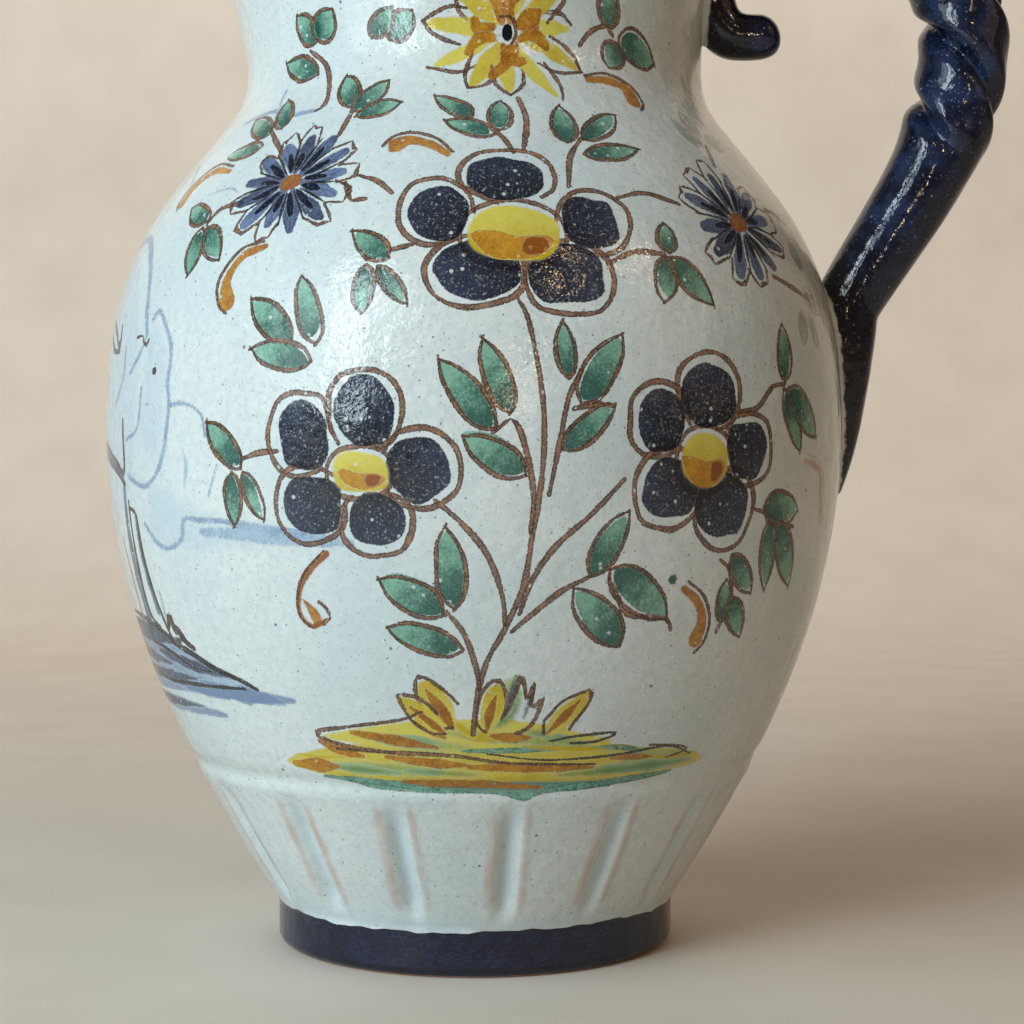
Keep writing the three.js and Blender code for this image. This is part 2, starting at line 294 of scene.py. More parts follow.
# Brown stems and tendrils, as points of a smooth curve
STEMS = [
    [(5.4, 158.3), (7.2, 151.7), (8.9, 135), (8.9, 120), (7.7, 105.8), (6.7, 95), (4.2, 85.8), (1.6, 78.3),
     (0.2, 70), (-0.4, 61.7)],
    [(14, 142), (12.2, 135.8), (10.9, 125), (9.7, 115)],
    [(2.3, 128.4), (4.9, 131), (6.7, 124.2), (7.7, 115), (7.4, 106.7)],
    [(-5.4, 113.8), (-1.9, 109.2), (1.6, 102.5), (3.7, 93.3), (4.2, 86.7)],
    [(20.2, 118.3), (15.7, 110.8), (11.2, 104.2), (8.2, 97.5), (6.2, 89.2)],
    [(15.7, 97), (12.2, 94.2), (8.2, 89.2), (5.2, 85)],
    [(-3.9, 89.6), (-1.4, 84.2), (0.1, 76.7), (0.6, 71.7)],
    [(13, 133.6), (16, 134.6), (18.4, 134.2)],
    [(18.9, 96.4), (20.8, 92), (22.5, 88.4), (28.6, 87.4), (30, 84.8)],
    [(-41.8, 221.2), (-36, 216.7), (-31.8, 206.7), (-33.3, 204.6)],
    [(-24.9, 197), (-24.4, 203)],
    [(-43.5, 201.5), (-37.3, 195.5), (-35, 192.5)],
    [(-45.9, 177.5), (-43.9, 180.8), (-39.3, 182)],
    [(-18.5, 186.2), (-15.2, 184.6), (-12.6, 181.6)],
    [(-20.5, 184.6), (-19, 180.6), (-16.5, 180.4)],
    [(3.7, 197), (5, 194.6), (6.2, 191.7)],
    [(8.4, 205.8), (9.4, 200), (7.9, 191.7)],
    [(14.2, 183.3), (15.7, 190.8), (18.7, 195.8)],
    [(-11.9, 168.4), (-8.7, 169.6)],
    [(24.5, 220.8), (27.5, 224.6), (31.6, 226.2), (33.5, 224)],
    [(49.2, 198.3), (47.1, 192.5)],
    [(22, 181.3), (27, 183), (33, 181)],
    [(18.5, 165.8), (23, 168.8), (28, 168.5)],
    [(50, 166), (57, 163.3), (60.6, 161.4)],
    [(-33.3, 123), (-30.3, 124.2), (-27.3, 124.6)],
    [(38.6, 133.8), (42.6, 135), (46.1, 139.6), (49.2, 140.8)],
    [(42.6, 112), (46.1, 110.8), (50.2, 108), (53.7, 107.5)],
    [(37.3, 100.4), (39.6, 97.5), (40.6, 90.8), (39.1, 83.8)],
    [(55.7, 183.3), (59, 182.8), (62.2, 180.8)],
]

# Ochre commas, as points from the thin end to the head
COMMAS = [
    [(-47.4, 190.8), (-53, 192), (-57.4, 189), (-57.9, 185.2)],
    [(-31.8, 170.2), (-35.5, 168.6), (-37.6, 163.5), (-36.8, 158.6)],
    [(-4.4, 190.8), (-7.4, 193.6), (-11, 194.6), (-13.6, 193.6)],
    [(25, 211.8), (30, 212.8), (34.6, 210.8), (34.8, 207.6)],
    [(31.3, 94.2), (34.2, 90.8), (35.6, 86.2), (35.2, 82)],
]
FADED_COMMAS = [[(55.7, 123.3), (60.7, 120.8), (62.6, 115), (64.6, 109)]]

# Five-petalled flowers as (heart, petals): each oval is (angle, height, half its angle, half its height)
FLOWERS = [
    ((5.4, 171.9, 6.8, 6.6), [
        (4.9, 185, 6, 4.9), (-5.2, 176.8, 4.3, 5.9), (0.3, 163.8, 5.7, 5.9), (12.6, 162.8, 5.2, 6.5),
        (16.9, 175.1, 4.4, 5.8)]),
    ((-15.4, 119.8, 4.1, 5), [
        (-14.7, 132.9, 4, 7), (-23.5, 127.9, 3.6, 7.4), (-22.4, 113.2, 4.2, 6.5), (-13.4, 109.4, 3.8, 5.4),
        (-7.6, 120.7, 4, 6.8)]),
    ((32.8, 123, 4.3, 6.4), [
        (33.5, 137.4, 4.4, 6.8), (25.6, 131.3, 3.4, 6.5), (27.4, 116.7, 4.3, 7), (36.8, 112.6, 4.4, 7.3),
        (40.6, 125.4, 3.7, 6.4)]),
]

# Blue daisies and a yellow one, as (angle, height, radius, petals)
DAISIES = [(-30.4, 185.8, 15, 13), (45.1, 178, 15.5, 12)]
SUN = (7.2, 222.5, 17, 11)


class Sheet:
    """The body's outside laid out flat: x is the way round at the belly's radius and y is the height.
    It collects the painted marks, later ones over earlier ones."""

    def __init__(self):
        self.points = []
        self.edges = []
        self.marks = []
        self.side = 1
        self.seed = 0

    def place(self, points):
        """Places given as (angle, height), on the side of the body that is being painted"""
        points = np.asarray(points, float)
        angle = points[:, 0] if self.side == 1 else -180 - points[:, 0]
        return np.column_stack([angle * DEGREE, points[:, 1]])

    def wobble(self, points, amount):
        """Moves points a little, as an unsteady hand does"""
        self.seed += 1
        flat = points / WOBBLE_LENGTH
        moved = [noise.noise_vector(Vector((x, y, self.seed * 1.7))) for x, y in flat]
        return points + amount * np.array([(move.x, move.y) for move in moved])

    def pin(self, points, closed):
        """Keeps a line of points as edges of the mesh"""
        start = len(self.points)
        self.points.extend(points)
        count = len(points)
        self.edges.extend((start + i, start + (i + 1) % count) for i in range(count if closed else count - 1))

    def area(self, places, paint, flow=None, load=None, streak=0.0, wobble=WOBBLE):
        """A filled shape. Its paint is as thick as load says, or grows thicker along flow."""
        outline = resample(self.wobble(self.place(places), wobble), MARK_STEP, closed=True)
        self.pin(outline, closed=True)
        middle = outline.mean(axis=0)
        self.pin_inner(outline, middle)
        ends = outline[[0, len(outline) // 2]] if flow is None else self.place(flow)
        self.marks.append(Mark(outline, None, paint, ends, load, streak))

    def pin_inner(self, outline, middle):
        """Rings of points inside an outline, for the shading of its paint"""
        size = np.linalg.norm(outline - middle, axis=1).mean()
        for inset in RING_INSETS:
            if inset < 0.8 * size:
                ring = mix(outline, middle, inset / size)
                self.points.extend(ring if inset == RING_INSETS[0] else ring[::2])

    def line(self, places, paint, width, load=0.5, wobble=WOBBLE, closed=False, streak=0.0):
        """A brush line. Its width in millimetres is one number, or several at even steps along it."""
        middle = resample(self.wobble(self.place(places), wobble), MARK_STEP, closed)
        if closed:
            middle = np.vstack([middle, middle[:1]])
        flat = middle / SWELL_LENGTH
        swing = [1 + SWELLING * noise.noise(Vector((x, y, self.seed * 2.3))) for x, y in flat]
        widths = np.atleast_1d(width)
        half = np.interp(np.linspace(0, 1, len(middle)), np.linspace(0, 1, len(widths)), widths) / 2 * swing
        scale = metric(middle[:, 1])
        along = np.gradient(middle, axis=0) * scale
        along /= np.linalg.norm(along, axis=1, keepdims=True)
        across = np.column_stack([-along[:, 1], along[:, 0]]) / scale
        mark = Mark(middle, half, paint, middle[[0, -1]], load, streak)
        self.pin(middle, closed=False)
        left, right = middle + half[:, None] * across, middle - half[:, None] * across
        if closed:
            edges = [left, right]
        else:
            start = self.cap(middle[0], -along[0], half[0], scale[0])
            end = self.cap(middle[-1], along[-1], half[-1], scale[-1])
            edges = [np.vstack([left, end, right[::-1], start])]
        for edge in edges:
            gap, position = mark.distance(edge)
            self.pin(edge[gap > 0.93 * mark.half_at(position)], closed=not closed)
        self.marks.append(mark)

    def cap(self, end, outward, half, scale):
        """The round end of a brush line"""
        turn = np.radians([50, 20, -20, -50])
        aside = np.array([-outward[1], outward[0]])
        return end + half * (np.outer(np.cos(turn), outward) + np.outer(np.sin(turn), aside)) / scale


class Mark:
    """One painted area, or one line when it has half widths"""

    def __init__(self, outline, half, paint, flow, load, streak):
        self.outline = outline
        self.half = half
        self.paint = paint
        self.flow = flow
        self.load = load
        self.streak = streak
        margin = 0 if half is None else half.max() * 2
        self.low = outline.min(axis=0) - margin
        self.high = outline.max(axis=0) + margin

    def distance(self, points):
        """Distance of points from the outline or centre line in real millimetres, and where along it"""
        start = self.outline
        end = np.roll(start, -1, axis=0)
        if self.half is not None:
            start, end = start[:-1], end[:-1]
        scale = metric(points[:, 1])[:, None, :]
        span = (end - start)[None] * scale
        to_point = (points[:, None, :] - start[None]) * scale
        share = np.clip((to_point * span).sum(-1) / np.maximum((span * span).sum(-1), 1e-9), 0, 1)
        gap = np.linalg.norm(to_point - share[..., None] * span, axis=-1)
        nearest = gap.argmin(axis=1)
        rows = np.arange(len(points))
        return gap[rows, nearest], nearest + share[rows, nearest]

    def half_at(self, position):
        """Half the line's width somewhere along it"""
        return np.interp(position, np.arange(len(self.half)), self.half)

    def covers(self, points):
        """Which points the mark covers"""
        if self.half is not None:
            gap, position = self.distance(points)
            return gap < self.half_at(position)
        x, y = points[:, 0][:, None], points[:, 1][:, None]
        x0, y0 = self.outline.T
        x1, y1 = np.roll(self.outline, -1, axis=0).T
        level = (y0 > y) != (y1 > y)
        crossing = x0 + (y - y0) * (x1 - x0) / np.where(y1 == y0, 1e-9, y1 - y0)
        return (level & (x < crossing)).sum(axis=1) % 2 == 1

    def depth(self, points):
        """How far inside the mark's edge points are"""
        gap, position = self.distance(points)
        return gap if self.half is None else np.maximum(self.half_at(position) - gap, 0)

    def loads(self, points):
        """How thick the paint is at points"""
        if self.load is not None:
            return np.full(len(points), self.load)
        way = self.flow[1] - self.flow[0]
        return np.clip((points - self.flow[0]) @ way / (way @ way), 0, 1)

    def across(self, points):
        """Points turned so that x is across the brush and y is along it"""
        way = self.flow[1] - self.flow[0]
        way = way / max(np.linalg.norm(way), 1e-9)
        return np.column_stack([points @ np.array([-way[1], way[0]]), points @ way])


def metric(z):
    """Real millimetres for one of the sheet's, round the body and up its wall"""
    z = np.asarray(z)
    slope = radius_at(z + 0.5) - radius_at(z - 0.5)
    return np.column_stack([radius_at(z) / BELLY_RADIUS, np.hypot(1, slope)])


def resample(points, step, closed=False):
    """Points at even steps along a smooth curve through the given ones"""
    curve = catmull_rom(points, 12, closed)
    if closed:
        curve = np.vstack([curve, curve[:1]])
    travelled = np.concatenate([[0], np.cumsum(np.linalg.norm(np.diff(curve, axis=0), axis=1))])
    count = max(int(round(travelled[-1] / step)), 4)
    at = np.linspace(0, travelled[-1], count, endpoint=not closed)
    return np.column_stack([np.interp(at, travelled, curve[:, axis]) for axis in (0, 1)])


def oval(centre_angle, centre_height, half_angle, half_height):
    """A full oval, with sides a little flatter than an ellipse's"""
    squareness = 2.3
    turn = np.linspace(0, 2 * np.pi, 14, endpoint=False)
    x, y = np.cos(turn), np.sin(turn)
    size = (np.abs(x) ** squareness + np.abs(y) ** squareness) ** (-1 / squareness)
    return np.column_stack([centre_angle + half_angle * size * x, centre_height + half_height * size * y])


def stretch(height):
    """Degrees round and heights that a real millimetre takes up at a height"""
    scale = metric(np.array([height]))[0]
    return np.array([1 / (scale[0] * DEGREE), 1 / scale[1]])


def leaf_sides(base, tip, width):
    """The two sides of a pointed leaf, each from base to tip"""
    base, tip = np.array(base, float), np.array(tip, float)
    unit = stretch((base[1] + tip[1]) / 2)
    way = (tip - base) / unit
    length = np.linalg.norm(way)
    way /= length
    side = np.array([-way[1], way[0]])
    along = np.array([0, 0.12, 0.32, 0.58, 0.82, 1]) * length
    bulge = np.array([0, 0.68, 1, 0.98, 0.66, 0]) * width / 2
    return [base + (np.outer(along, way) + sign * np.outer(bulge, side)) * unit for sign in (1, -1)]


def leaf_shape(base, tip, width, fullness=1.0, back=0.0):
    """A pointed leaf's closed outline; back draws both ends in by a share of its length"""
    base, tip = np.array(base, float), np.array(tip, float)
    right, left = leaf_sides(mix(base, tip, back), mix(tip, base, back), width * fullness)
    return np.vstack([right, left[-2:0:-1]])


def leaf(sheet, base, tip, width, paint="green"):
    """A leaf: a green fill, darker at the base, and two brown strokes that stand a little off it and
    cross at the tip"""
    sheet.seed += 1
    shift = noise.noise_vector(Vector((base[0], base[1], sheet.seed)))
    offset = np.array([shift.x, shift.y]) * stretch(base[1]) * 1.1
    fill = leaf_shape(base, tip, width, fullness=1.08 + 0.25 * shift.z, back=0.02) + offset
    sheet.area(fill, paint, flow=(tip, base), wobble=0.8)
    brown = "line" if paint == "green" else "pink"
    for side, past in zip(leaf_sides(base, tip, width * 1.04), (0.14, 0.05)):
        beyond = side[-1] + (side[-1] - side[-2]) * past
        sheet.line(np.vstack([side, beyond]), brown, [0.9, 1.35, 1.2, 0.7], wobble=0.6)


def flower(sheet, heart, petals):
    """A flower with five dark petals round a yellow heart"""
    centre = np.array(heart[:2])
    for angle, height, half_angle, half_height in petals:
        middle = np.array([angle, height])
        outward = mix(centre, middle, 1.05)
        unit = stretch(height)
        ring = oval(*outward, half_angle + 1.9 * unit[0], half_height + 1.8 * unit[1])
        near = np.linalg.norm((ring - centre) / unit, axis=1).argmin()
        ring = np.roll(ring, -near - 1, axis=0)[:-1]
        sheet.line(ring, "line", [1.1, 1.6, 1.3, 1.7, 1.1], load=0.5, wobble=0.9)
    angle, height, half_angle, half_height = heart
    sheet.line(oval(angle, height, half_angle * 1.12, half_height * 1.16), "line", 1.3, closed=True)
    for petal in petals:
        middle = np.array(petal[:2])
        sheet.area(oval(*middle, petal[2] * 1.06, petal[3] * 1.06), "navy", streak=1.0, wobble=1.6,
                   flow=(mix(centre, middle, 1.9), mix(centre, middle, 0.45)))
    sheet.area(oval(*heart), "yellow", flow=((angle, height + half_height), (angle, height - half_height)),
               wobble=0.9)
    lower = [(-0.9, 0.04), (-0.45, 0.1), (0.1, 0.0), (0.64, 0.04), (0.84, -0.3), (0.5, -0.84), (0.0, -0.93),
             (-0.55, -0.74)]
    sheet.area(centre + np.array(lower) * [half_angle, half_height], "ochre", load=0.3, wobble=1.8)
    pool = [(0.24, -0.08), (0.5, -0.02), (0.74, -0.1), (0.76, -0.4), (0.5, -0.72), (0.2, -0.66)]
    sheet.area(centre + np.array(pool) * [half_angle, half_height], "ochre", load=0.95, wobble=1.2)


def rays(angle, height, radius, count, turn):
    """Unit steps from a daisy's centre to its petals' tips, one after the other"""
    for index in range(count):
        direction = 2 * np.pi * (index + turn) / count
        uneven = 1 + 0.12 * noise.noise(Vector((angle, height, index * 3.7)))
        yield np.array([np.cos(direction), np.sin(direction)]) * radius * uneven


def daisy(sheet, angle, height, radius, count):
    """A daisy: blue petals, darker at their roots, with dark lines between them and brown loops round
    most of their tips"""
    centre = np.array([angle, height])
    unit = stretch(height)
    petals = [ray * unit for ray in rays(angle, height, radius, count, turn=0.3)]
    gaps = [ray * unit for ray in rays(angle, height, radius, count, turn=0.8)]
    for index, reach in enumerate(petals):
        far = 0.84 + 0.06 * (index % 3)
        sheet.line([centre + reach * share for share in (0.2, 0.5, far)], "blue", [1.6, 3.6, 4.4, 3.0],
                   load=0.3 + 0.14 * (index * 5 % 4), wobble=0.8, streak=0.9)
    for index, (reach, gap) in enumerate(zip(petals, gaps)):
        if index % 4 != 2:
            loop = [gaps[index - 1] * 0.78, mix(gaps[index - 1], reach, 0.55) * 1.1, reach * 1.08,
                    mix(gap, reach, 0.55) * 1.1, gap * 0.8]
            sheet.line(centre + np.array(loop), "line", [0.7, 1.1, 0.8], wobble=1.0)
        sheet.line([centre + gap * share for share in (0.24, 0.5, 0.86)], "dark line", [0.6, 1.0, 0.6],
                   load=0.8, wobble=0.8)
    for index, reach in enumerate(petals):
        far = 0.56 + 0.08 * (index % 3)
        sheet.line([centre + reach * share for share in (0.24, 0.42, far)], "navy", [1.2, 2.4, 1.4], load=0.7,
                   wobble=0.7)
    sheet.area(oval(angle, height, 3.4 * unit[0], 2.9 * unit[1]), "ochre", load=0.7, wobble=0.9)


def sun(sheet, angle, height, radius, count):
    """A yellow daisy with ochre strokes over its petals, ragged brown outlines and a dark heart"""
    centre = np.array([angle, height])
    unit = stretch(height)
    for index, ray in enumerate(rays(angle, height, radius, count, turn=0.25)):
        reach = ray * unit * (0.88 + 0.07 * (index * 3 % 4))
        sheet.line([centre + reach * share for share in (0.24, 0.55, 0.98)], "yellow",
                   [2.2, 4.6 + 0.6 * (index % 2), 4.4, 2.4], load=0.2 + 0.2 * (index * 2 % 3), wobble=1.3)
        sides = leaf_sides(centre + reach * 0.3, centre + reach * 1.08, radius * 0.46)
        for side in sides[:2 if index % 3 else 1]:
            sheet.line(side[2:], "line", [0.8, 1.3, 0.9], wobble=1.3)
    for index, ray in enumerate(rays(angle, height, radius, 8, turn=0.6)):
        reach = ray * unit
        far = 0.46 + 0.13 * (index * 4 % 3)
        bend = centre + reach * 0.4 + np.array([reach[1], -reach[0]]) * 0.12 * (-1) ** index
        sheet.line([centre + reach * 0.22, bend, centre + reach * far], "ochre", [2.4, 3.4, 2.6], load=0.45,
                   wobble=1.4)
    strokes = [((-1, 2.4), (-3.6, 12), 3.6), ((3, 2), (7.6, 5), 4.6), ((0.6, -3), (-0.6, -8), 4.4)]
    strokes = [(centre + start, centre + end, width) for start, end, width in strokes]
    streaks(sheet, "ochre", strokes, load=0.5)
    sheet.line([centre + (-1.8, 3.6), centre + (0.9, 3.8), centre + (1.9, 0.4), centre + (0.8, -3)], "line",
               [0.7, 1.1, 0.7], wobble=0.7)
    sheet.area(oval(angle, height, 1.3 * unit[0], 2.1 * unit[1]), "foot", load=0.8)


def comma(sheet, points, paint="ochre"):
    """A comma with a round head, and a brown line round its outer side"""
    sheet.line(points, paint, [2.0, 2.6, 2.8, 3.3, 4.8], load=0.45, wobble=0.7)
    path = np.array(points, float)
    unit = stretch(path[:, 1].mean())
    way = np.gradient(path / unit, axis=0)
    way /= np.linalg.norm(way, axis=1, keepdims=True)
    bend = np.sign(np.cross(way[0], way[-1])) or 1
    outwards = np.column_stack([way[:, 1], -way[:, 0]]) * bend
    clear = np.linspace(1.6, 2.9, len(path))[:, None]
    beyond = path[-1] + (way[-1] * 2.9 + outwards[-1] * 0.8) * unit
    sheet.line(np.vstack([path + outwards * clear * unit, beyond]), "line" if paint == "ochre" else "pink",
               [0.9, 1.25, 0.9], wobble=0.5)


def hook(sheet):
    """A brown hook with an ochre drop in its crook"""
    sheet.line([(-25.2, 91.8), (-24, 89.8), (-23.2, 87)], "ochre", [0.9, 2.9, 2.6], load=0.5)
    sheet.line([(-20.7, 102.2), (-24.5, 96.7), (-26, 90.8), (-25.6, 87.6), (-24, 85.6), (-22.8, 86.6)],
               "ochre", [2, 1.6, 1.5], load=0.8)
    sheet.line([(-21.3, 102.6), (-24.9, 96.9), (-26.2, 91), (-25.8, 87.4), (-24.2, 85.2)], "line",
               [0.8, 1.0, 0.7])
    sheet.line([(-22.6, 91.4), (-21.4, 89.6), (-21.4, 88), (-22.4, 86.6)], "line", 1.2)


def spray(sheet):
    """The bunch of flowers on one side of the body"""
    for points in STEMS:
        sheet.line(points, "line", [1.1, 1.5, 1.6, 1.2])
    for base, tip, width in LEAVES:
        leaf(sheet, base, tip, width)
    for base, tip, width in FADED_LEAVES:
        leaf(sheet, base, tip, width, "faded green")
    for points in COMMAS:
        comma(sheet, points)
    for points in FADED_COMMAS:
        comma(sheet, points, "pink")
    hook(sheet)
    for heart, petals in FLOWERS:
        flower(sheet, heart, petals)
    for place in DAISIES:
        daisy(sheet, *place)
    sun(sheet, *SUN)
    sheet.area(oval(29, 96.3, 0.9, 1.4), "green", load=0.7)


def streaks(sheet, paint, strokes, load=0.6):
    """Straightish brush strokes, each (start, end, width)"""
    for start, end, width in strokes:
        middle = mix(np.array(start, float), np.array(end, float), 0.5)
        widths = [0.5 * width, width, width, 0.4 * width]
        sheet.line([start, middle, end], paint, widths, load=load, wobble=0.7)


def tuft(sheet, base, tip, width):
    """A blade of the mound's grass: yellow and ochre strokes in a ragged brown outline"""
    base, tip = np.array(base), np.array(tip)
    sheet.area(leaf_shape(base, tip, width, fullness=0.95), "yellow", flow=(base, tip), wobble=1.0)
    streaks(sheet, "ochre", [(base, mix(base, tip, 0.75), width * 0.4)])
    right, left = leaf_sides(base, tip, width)
    sheet.line(np.vstack([right, left[-2:1:-1]]), "line", [0.8, 1.1, 1.0], wobble=1.3)


def mound(sheet):
    """The grassy mound that the spray grows from"""
    lower = [(-35.5, 53.2), (-30, 56.6), (-20, 58.8), (0, 58.4), (20, 58.6), (34, 57), (46, 54), (41, 50.8),
             (20, 49.8), (0, 50), (-20, 50.2), (-30, 51)]
    upper = [(-27, 60.6), (-20, 62.8), (-11, 64.8), (-4, 65.5), (6, 65), (12, 63.6), (19, 61), (23.5, 59.6),
             (20, 57.6), (0, 56.8), (-19, 58.4)]
    under = [(-26, 51.2), (-19, 48.4), (-9, 47.2), (3, 46.8), (9, 44.8), (12, 46.6), (24, 48), (38, 50.4),
             (24, 51.6), (0, 51.4), (-16, 51.4)]
    sheet.area(under, "green", load=0.4, wobble=1.0)
    sheet.area(lower, "yellow", load=0.45, wobble=0.8)
    sheet.area(upper, "yellow", load=0.1, wobble=0.8)
    streaks(sheet, "lime", [((-26, 53.8), (-6, 52.6), 4.2), ((-16, 60), (-1, 58.4), 4.4),
                            ((22, 52.8), (43, 53), 4.6), ((5, 60.4), (20, 58.6), 4.2),
                            ((24, 55.8), (40, 55.6), 3.4), ((-8, 62.6), (8, 60), 2.6)], load=0.35)
    streaks(sheet, "lime", [((14, 51.6), (42, 53), 3.8), ((-27, 53.2), (-13, 52.2), 3.4),
                            ((-12, 52.6), (2, 51.8), 2.8), ((-14, 60.8), (-6, 59.6), 2.6),
                            ((8, 62.4), (15, 60.4), 2.8)], load=0.9)
    streaks(sheet, "green", [((-28, 50.9), (-6, 48.2), 2.4), ((12, 47.6), (38, 50.6), 2.6),
                             ((-2, 57.6), (14, 57.4), 1.8), ((20, 58), (30, 56.6), 1.6)], load=0.35)
    streaks(sheet, "yellow", [((-2, 61.6), (6, 60.8), 3.4), ((-4, 65), (0, 61), 2.6),
                              ((8, 58.6), (24, 56.8), 2), ((-33, 55), (-22, 55.6), 1.6),
                              ((30, 54.4), (44, 54.4), 1.8)], load=1.0)
    streaks(sheet, "ochre", [((-33.4, 53.4), (-24.5, 52.9), 4), ((-20.5, 61.8), (-6.4, 58.4), 3),
                             ((-27, 58.8), (-19.4, 55.8), 3.2), ((-15, 55.6), (-1, 54.2), 2.8),
                             ((-1, 54), (21, 53), 3), ((-13, 49.8), (12, 49), 3.2),
                             ((24, 55), (33, 54.8), 2), ((2.4, 61.2), (9, 60.8), 3),
                             ((-10, 64.6), (-5, 61), 2.4)], load=0.45)
    sheet.area(leaf_shape((3, 62.4), (6, 75.4), 9), "lime", flow=((4, 76), (4, 62)), wobble=1.6)
    for base, tip, width in [((-3.6, 63), (-8.6, 74.6), 7.4), ((-4.8, 62), (-12, 70.2), 5.6),
                             ((1.8, 62.4), (3.6, 74), 6), ((11.6, 61.4), (18.2, 71.6), 6)]:
        tuft(sheet, base, tip, width)
    streaks(sheet, "slate", [((5.2, 66.4), (6.2, 75.4), 3), ((7.6, 65), (9.2, 73.6), 2.4)])
    sheet.line([(4.6, 66), (6.4, 72.6), (7, 75.6), (7.8, 69.6), (9, 73.6), (8.6, 67.6), (10.6, 70.4),
                (9, 63.6), (6.8, 61.6)], "line", 1.1, wobble=0.9)
    sheet.line([(-8.6, 66.8), (-12, 65), (-20, 63.4), (-27.2, 60.9), (-22.6, 58.2), (-14, 57)], "line",
               [0.8, 1.2, 1.2], wobble=0.8)
    sheet.line([(-24, 57.6), (-14, 57), (-4, 56.4), (6, 54.8), (21, 53.6)], "line", [0.8, 1.3, 1.0, 0.7],
               wobble=0.8)
    sheet.line([(2, 57), (12, 55.4), (24, 55.8), (35, 57), (41.5, 54.6)], "dark line", [0.6, 0.9, 0.7])
    sheet.line([(12.4, 60), (17, 60.4), (23.8, 61.6), (20.4, 59.4), (16, 58.8)], "dark line", 0.9, wobble=0.8)
    sheet.line([(31, 57.6), (37, 57.4), (40.4, 56), (36, 54.4)], "line", 0.7, wobble=0.8)


def clouds(sheet):
    """Looped outlines of clouds in thin blue, over a pale haze"""
    for points in [[(-78, 174), (-63, 168), (-57, 150), (-58, 128), (-63, 112), (-78, 108)],
                   [(-53, 119), (-42, 112), (-27, 108.4), (-29, 103), (-50, 101), (-56, 107)],
                   [(-54, 156), (-48, 150), (-48.4, 130), (-53, 121), (-57, 130), (-56, 146)],
                   [(-60, 207), (-48, 209), (-38, 206), (-40, 201), (-54, 198), (-62, 200)]]:
        sheet.area(points, "haze", load=0.5, wobble=1.5)
    for points, width in [
        ([(-74, 177), (-67, 177.5), (-62, 173.3), (-58, 165.8), (-55.4, 154)], 2.4),
        ([(-53.8, 156), (-52.4, 157.8), (-50.4, 155), (-47.9, 149), (-48.4, 141), (-47.9, 135), (-49.4, 125),
          (-52.4, 119.2), (-56.4, 117), (-61.5, 119.6)], 1.8),
        ([(-47.4, 135.8), (-43.9, 135.8), (-40.8, 133.3), (-39.8, 128.3)], 1.5),
        ([(-57, 108.3), (-54.4, 104.2), (-50.9, 102.5), (-46.9, 105), (-45.9, 109.2), (-41.9, 109.4),
          (-36.8, 108.8), (-30, 107.6), (-23, 106)], 1.8),
        ([(-55, 153), (-57, 148), (-60.4, 144)], 1.6), ([(-56, 140), (-57, 131), (-61.4, 128.3)], 1.5),
        ([(-63, 150), (-63.4, 143.3), (-67, 137)], 1.6), ([(-37.8, 121.7), (-39.8, 115)], 1.2),
        ([(-55.8, 205), (-47, 206.4), (-40.4, 204.6), (-34, 204.8)], 2),
        ([(-47, 212), (-46.6, 209), (-45.2, 207.4)], 1.4),
        ([(-49.4, 185.4), (-44, 186.2), (-41.4, 184.8)], 1),
        ([(-72, 190), (-66, 196), (-60.5, 190.5)], 1.4),
    ]:
        sheet.line(points, "wash", width * 1.15, load=0.5)
    sheet.line([(-44.8, 125.6), (-44.2, 121), (-45, 116.6)], "wash", [0.8, 2.6, 0.8], load=0.15)
    sheet.line([(-42, 106.6), (-29, 105.8), (-17, 104.6)], "wash", [2.4, 5, 2.4], load=0.3)


def ground(sheet):
    """The ground, in washes and dark strokes, with a tuft"""
    bank = [(-90, 86), (-76, 85), (-66, 84), (-59, 81), (-50, 76.4), (-40, 72), (-31, 67.2), (-38, 66.8),
            (-50, 67.6), (-65, 67.2), (-78, 67), (-90, 67.6)]
    sheet.area(bank, "wash", flow=((-36, 70), (-66, 78)), wobble=1.0)
    streaks(sheet, "wash", [((-90, 65.4), (-47, 63.4), 4.6), ((-60, 70), (-30, 68), 5)], load=0.95)
    streaks(sheet, "slate", [((-84, 83.6), (-54.5, 80), 6), ((-86, 77.4), (-60, 74.6), 4.4),
                             ((-64, 77.6), (-42, 72.6), 4.2), ((-82, 71.4), (-52, 71.6), 4),
                             ((-88, 65.6), (-53, 64.6), 3.6)], load=0.75)
    sheet.line([(-76, 86.4), (-66, 84.8), (-59.4, 82.3), (-55.4, 79.6), (-50.9, 77.5), (-45.9, 74.6),
                (-40.8, 72.5), (-37, 70.4)], "dark line", [1.4, 2.0, 1.3], load=0.8)
    sheet.line([(-78, 72.8), (-72, 72.4), (-64.5, 70.4), (-52, 70.2), (-39.8, 70.3)], "dark line", 1.3,
               load=0.7)
    sheet.line([(-70, 80.4), (-60, 78.2), (-52, 74.6), (-46, 73.6)], "dark line", [0.6, 1.3, 0.6], load=0.6)
    for base, tip, width in [((-56.6, 85), (-56.6, 93.6), 2), ((-56, 80), (-51, 82), 2.4)]:
        sheet.area(leaf_shape(base, tip, width), "slate", load=0.8)
    sheet.line([(-57, 83.4), (-55.4, 86.4), (-55, 82.8), (-53.4, 82.8), (-52, 80.2), (-50, 78.8)], "line",
               [1.4, 2.4, 2.6, 1.6], load=0.95, wobble=0.9)


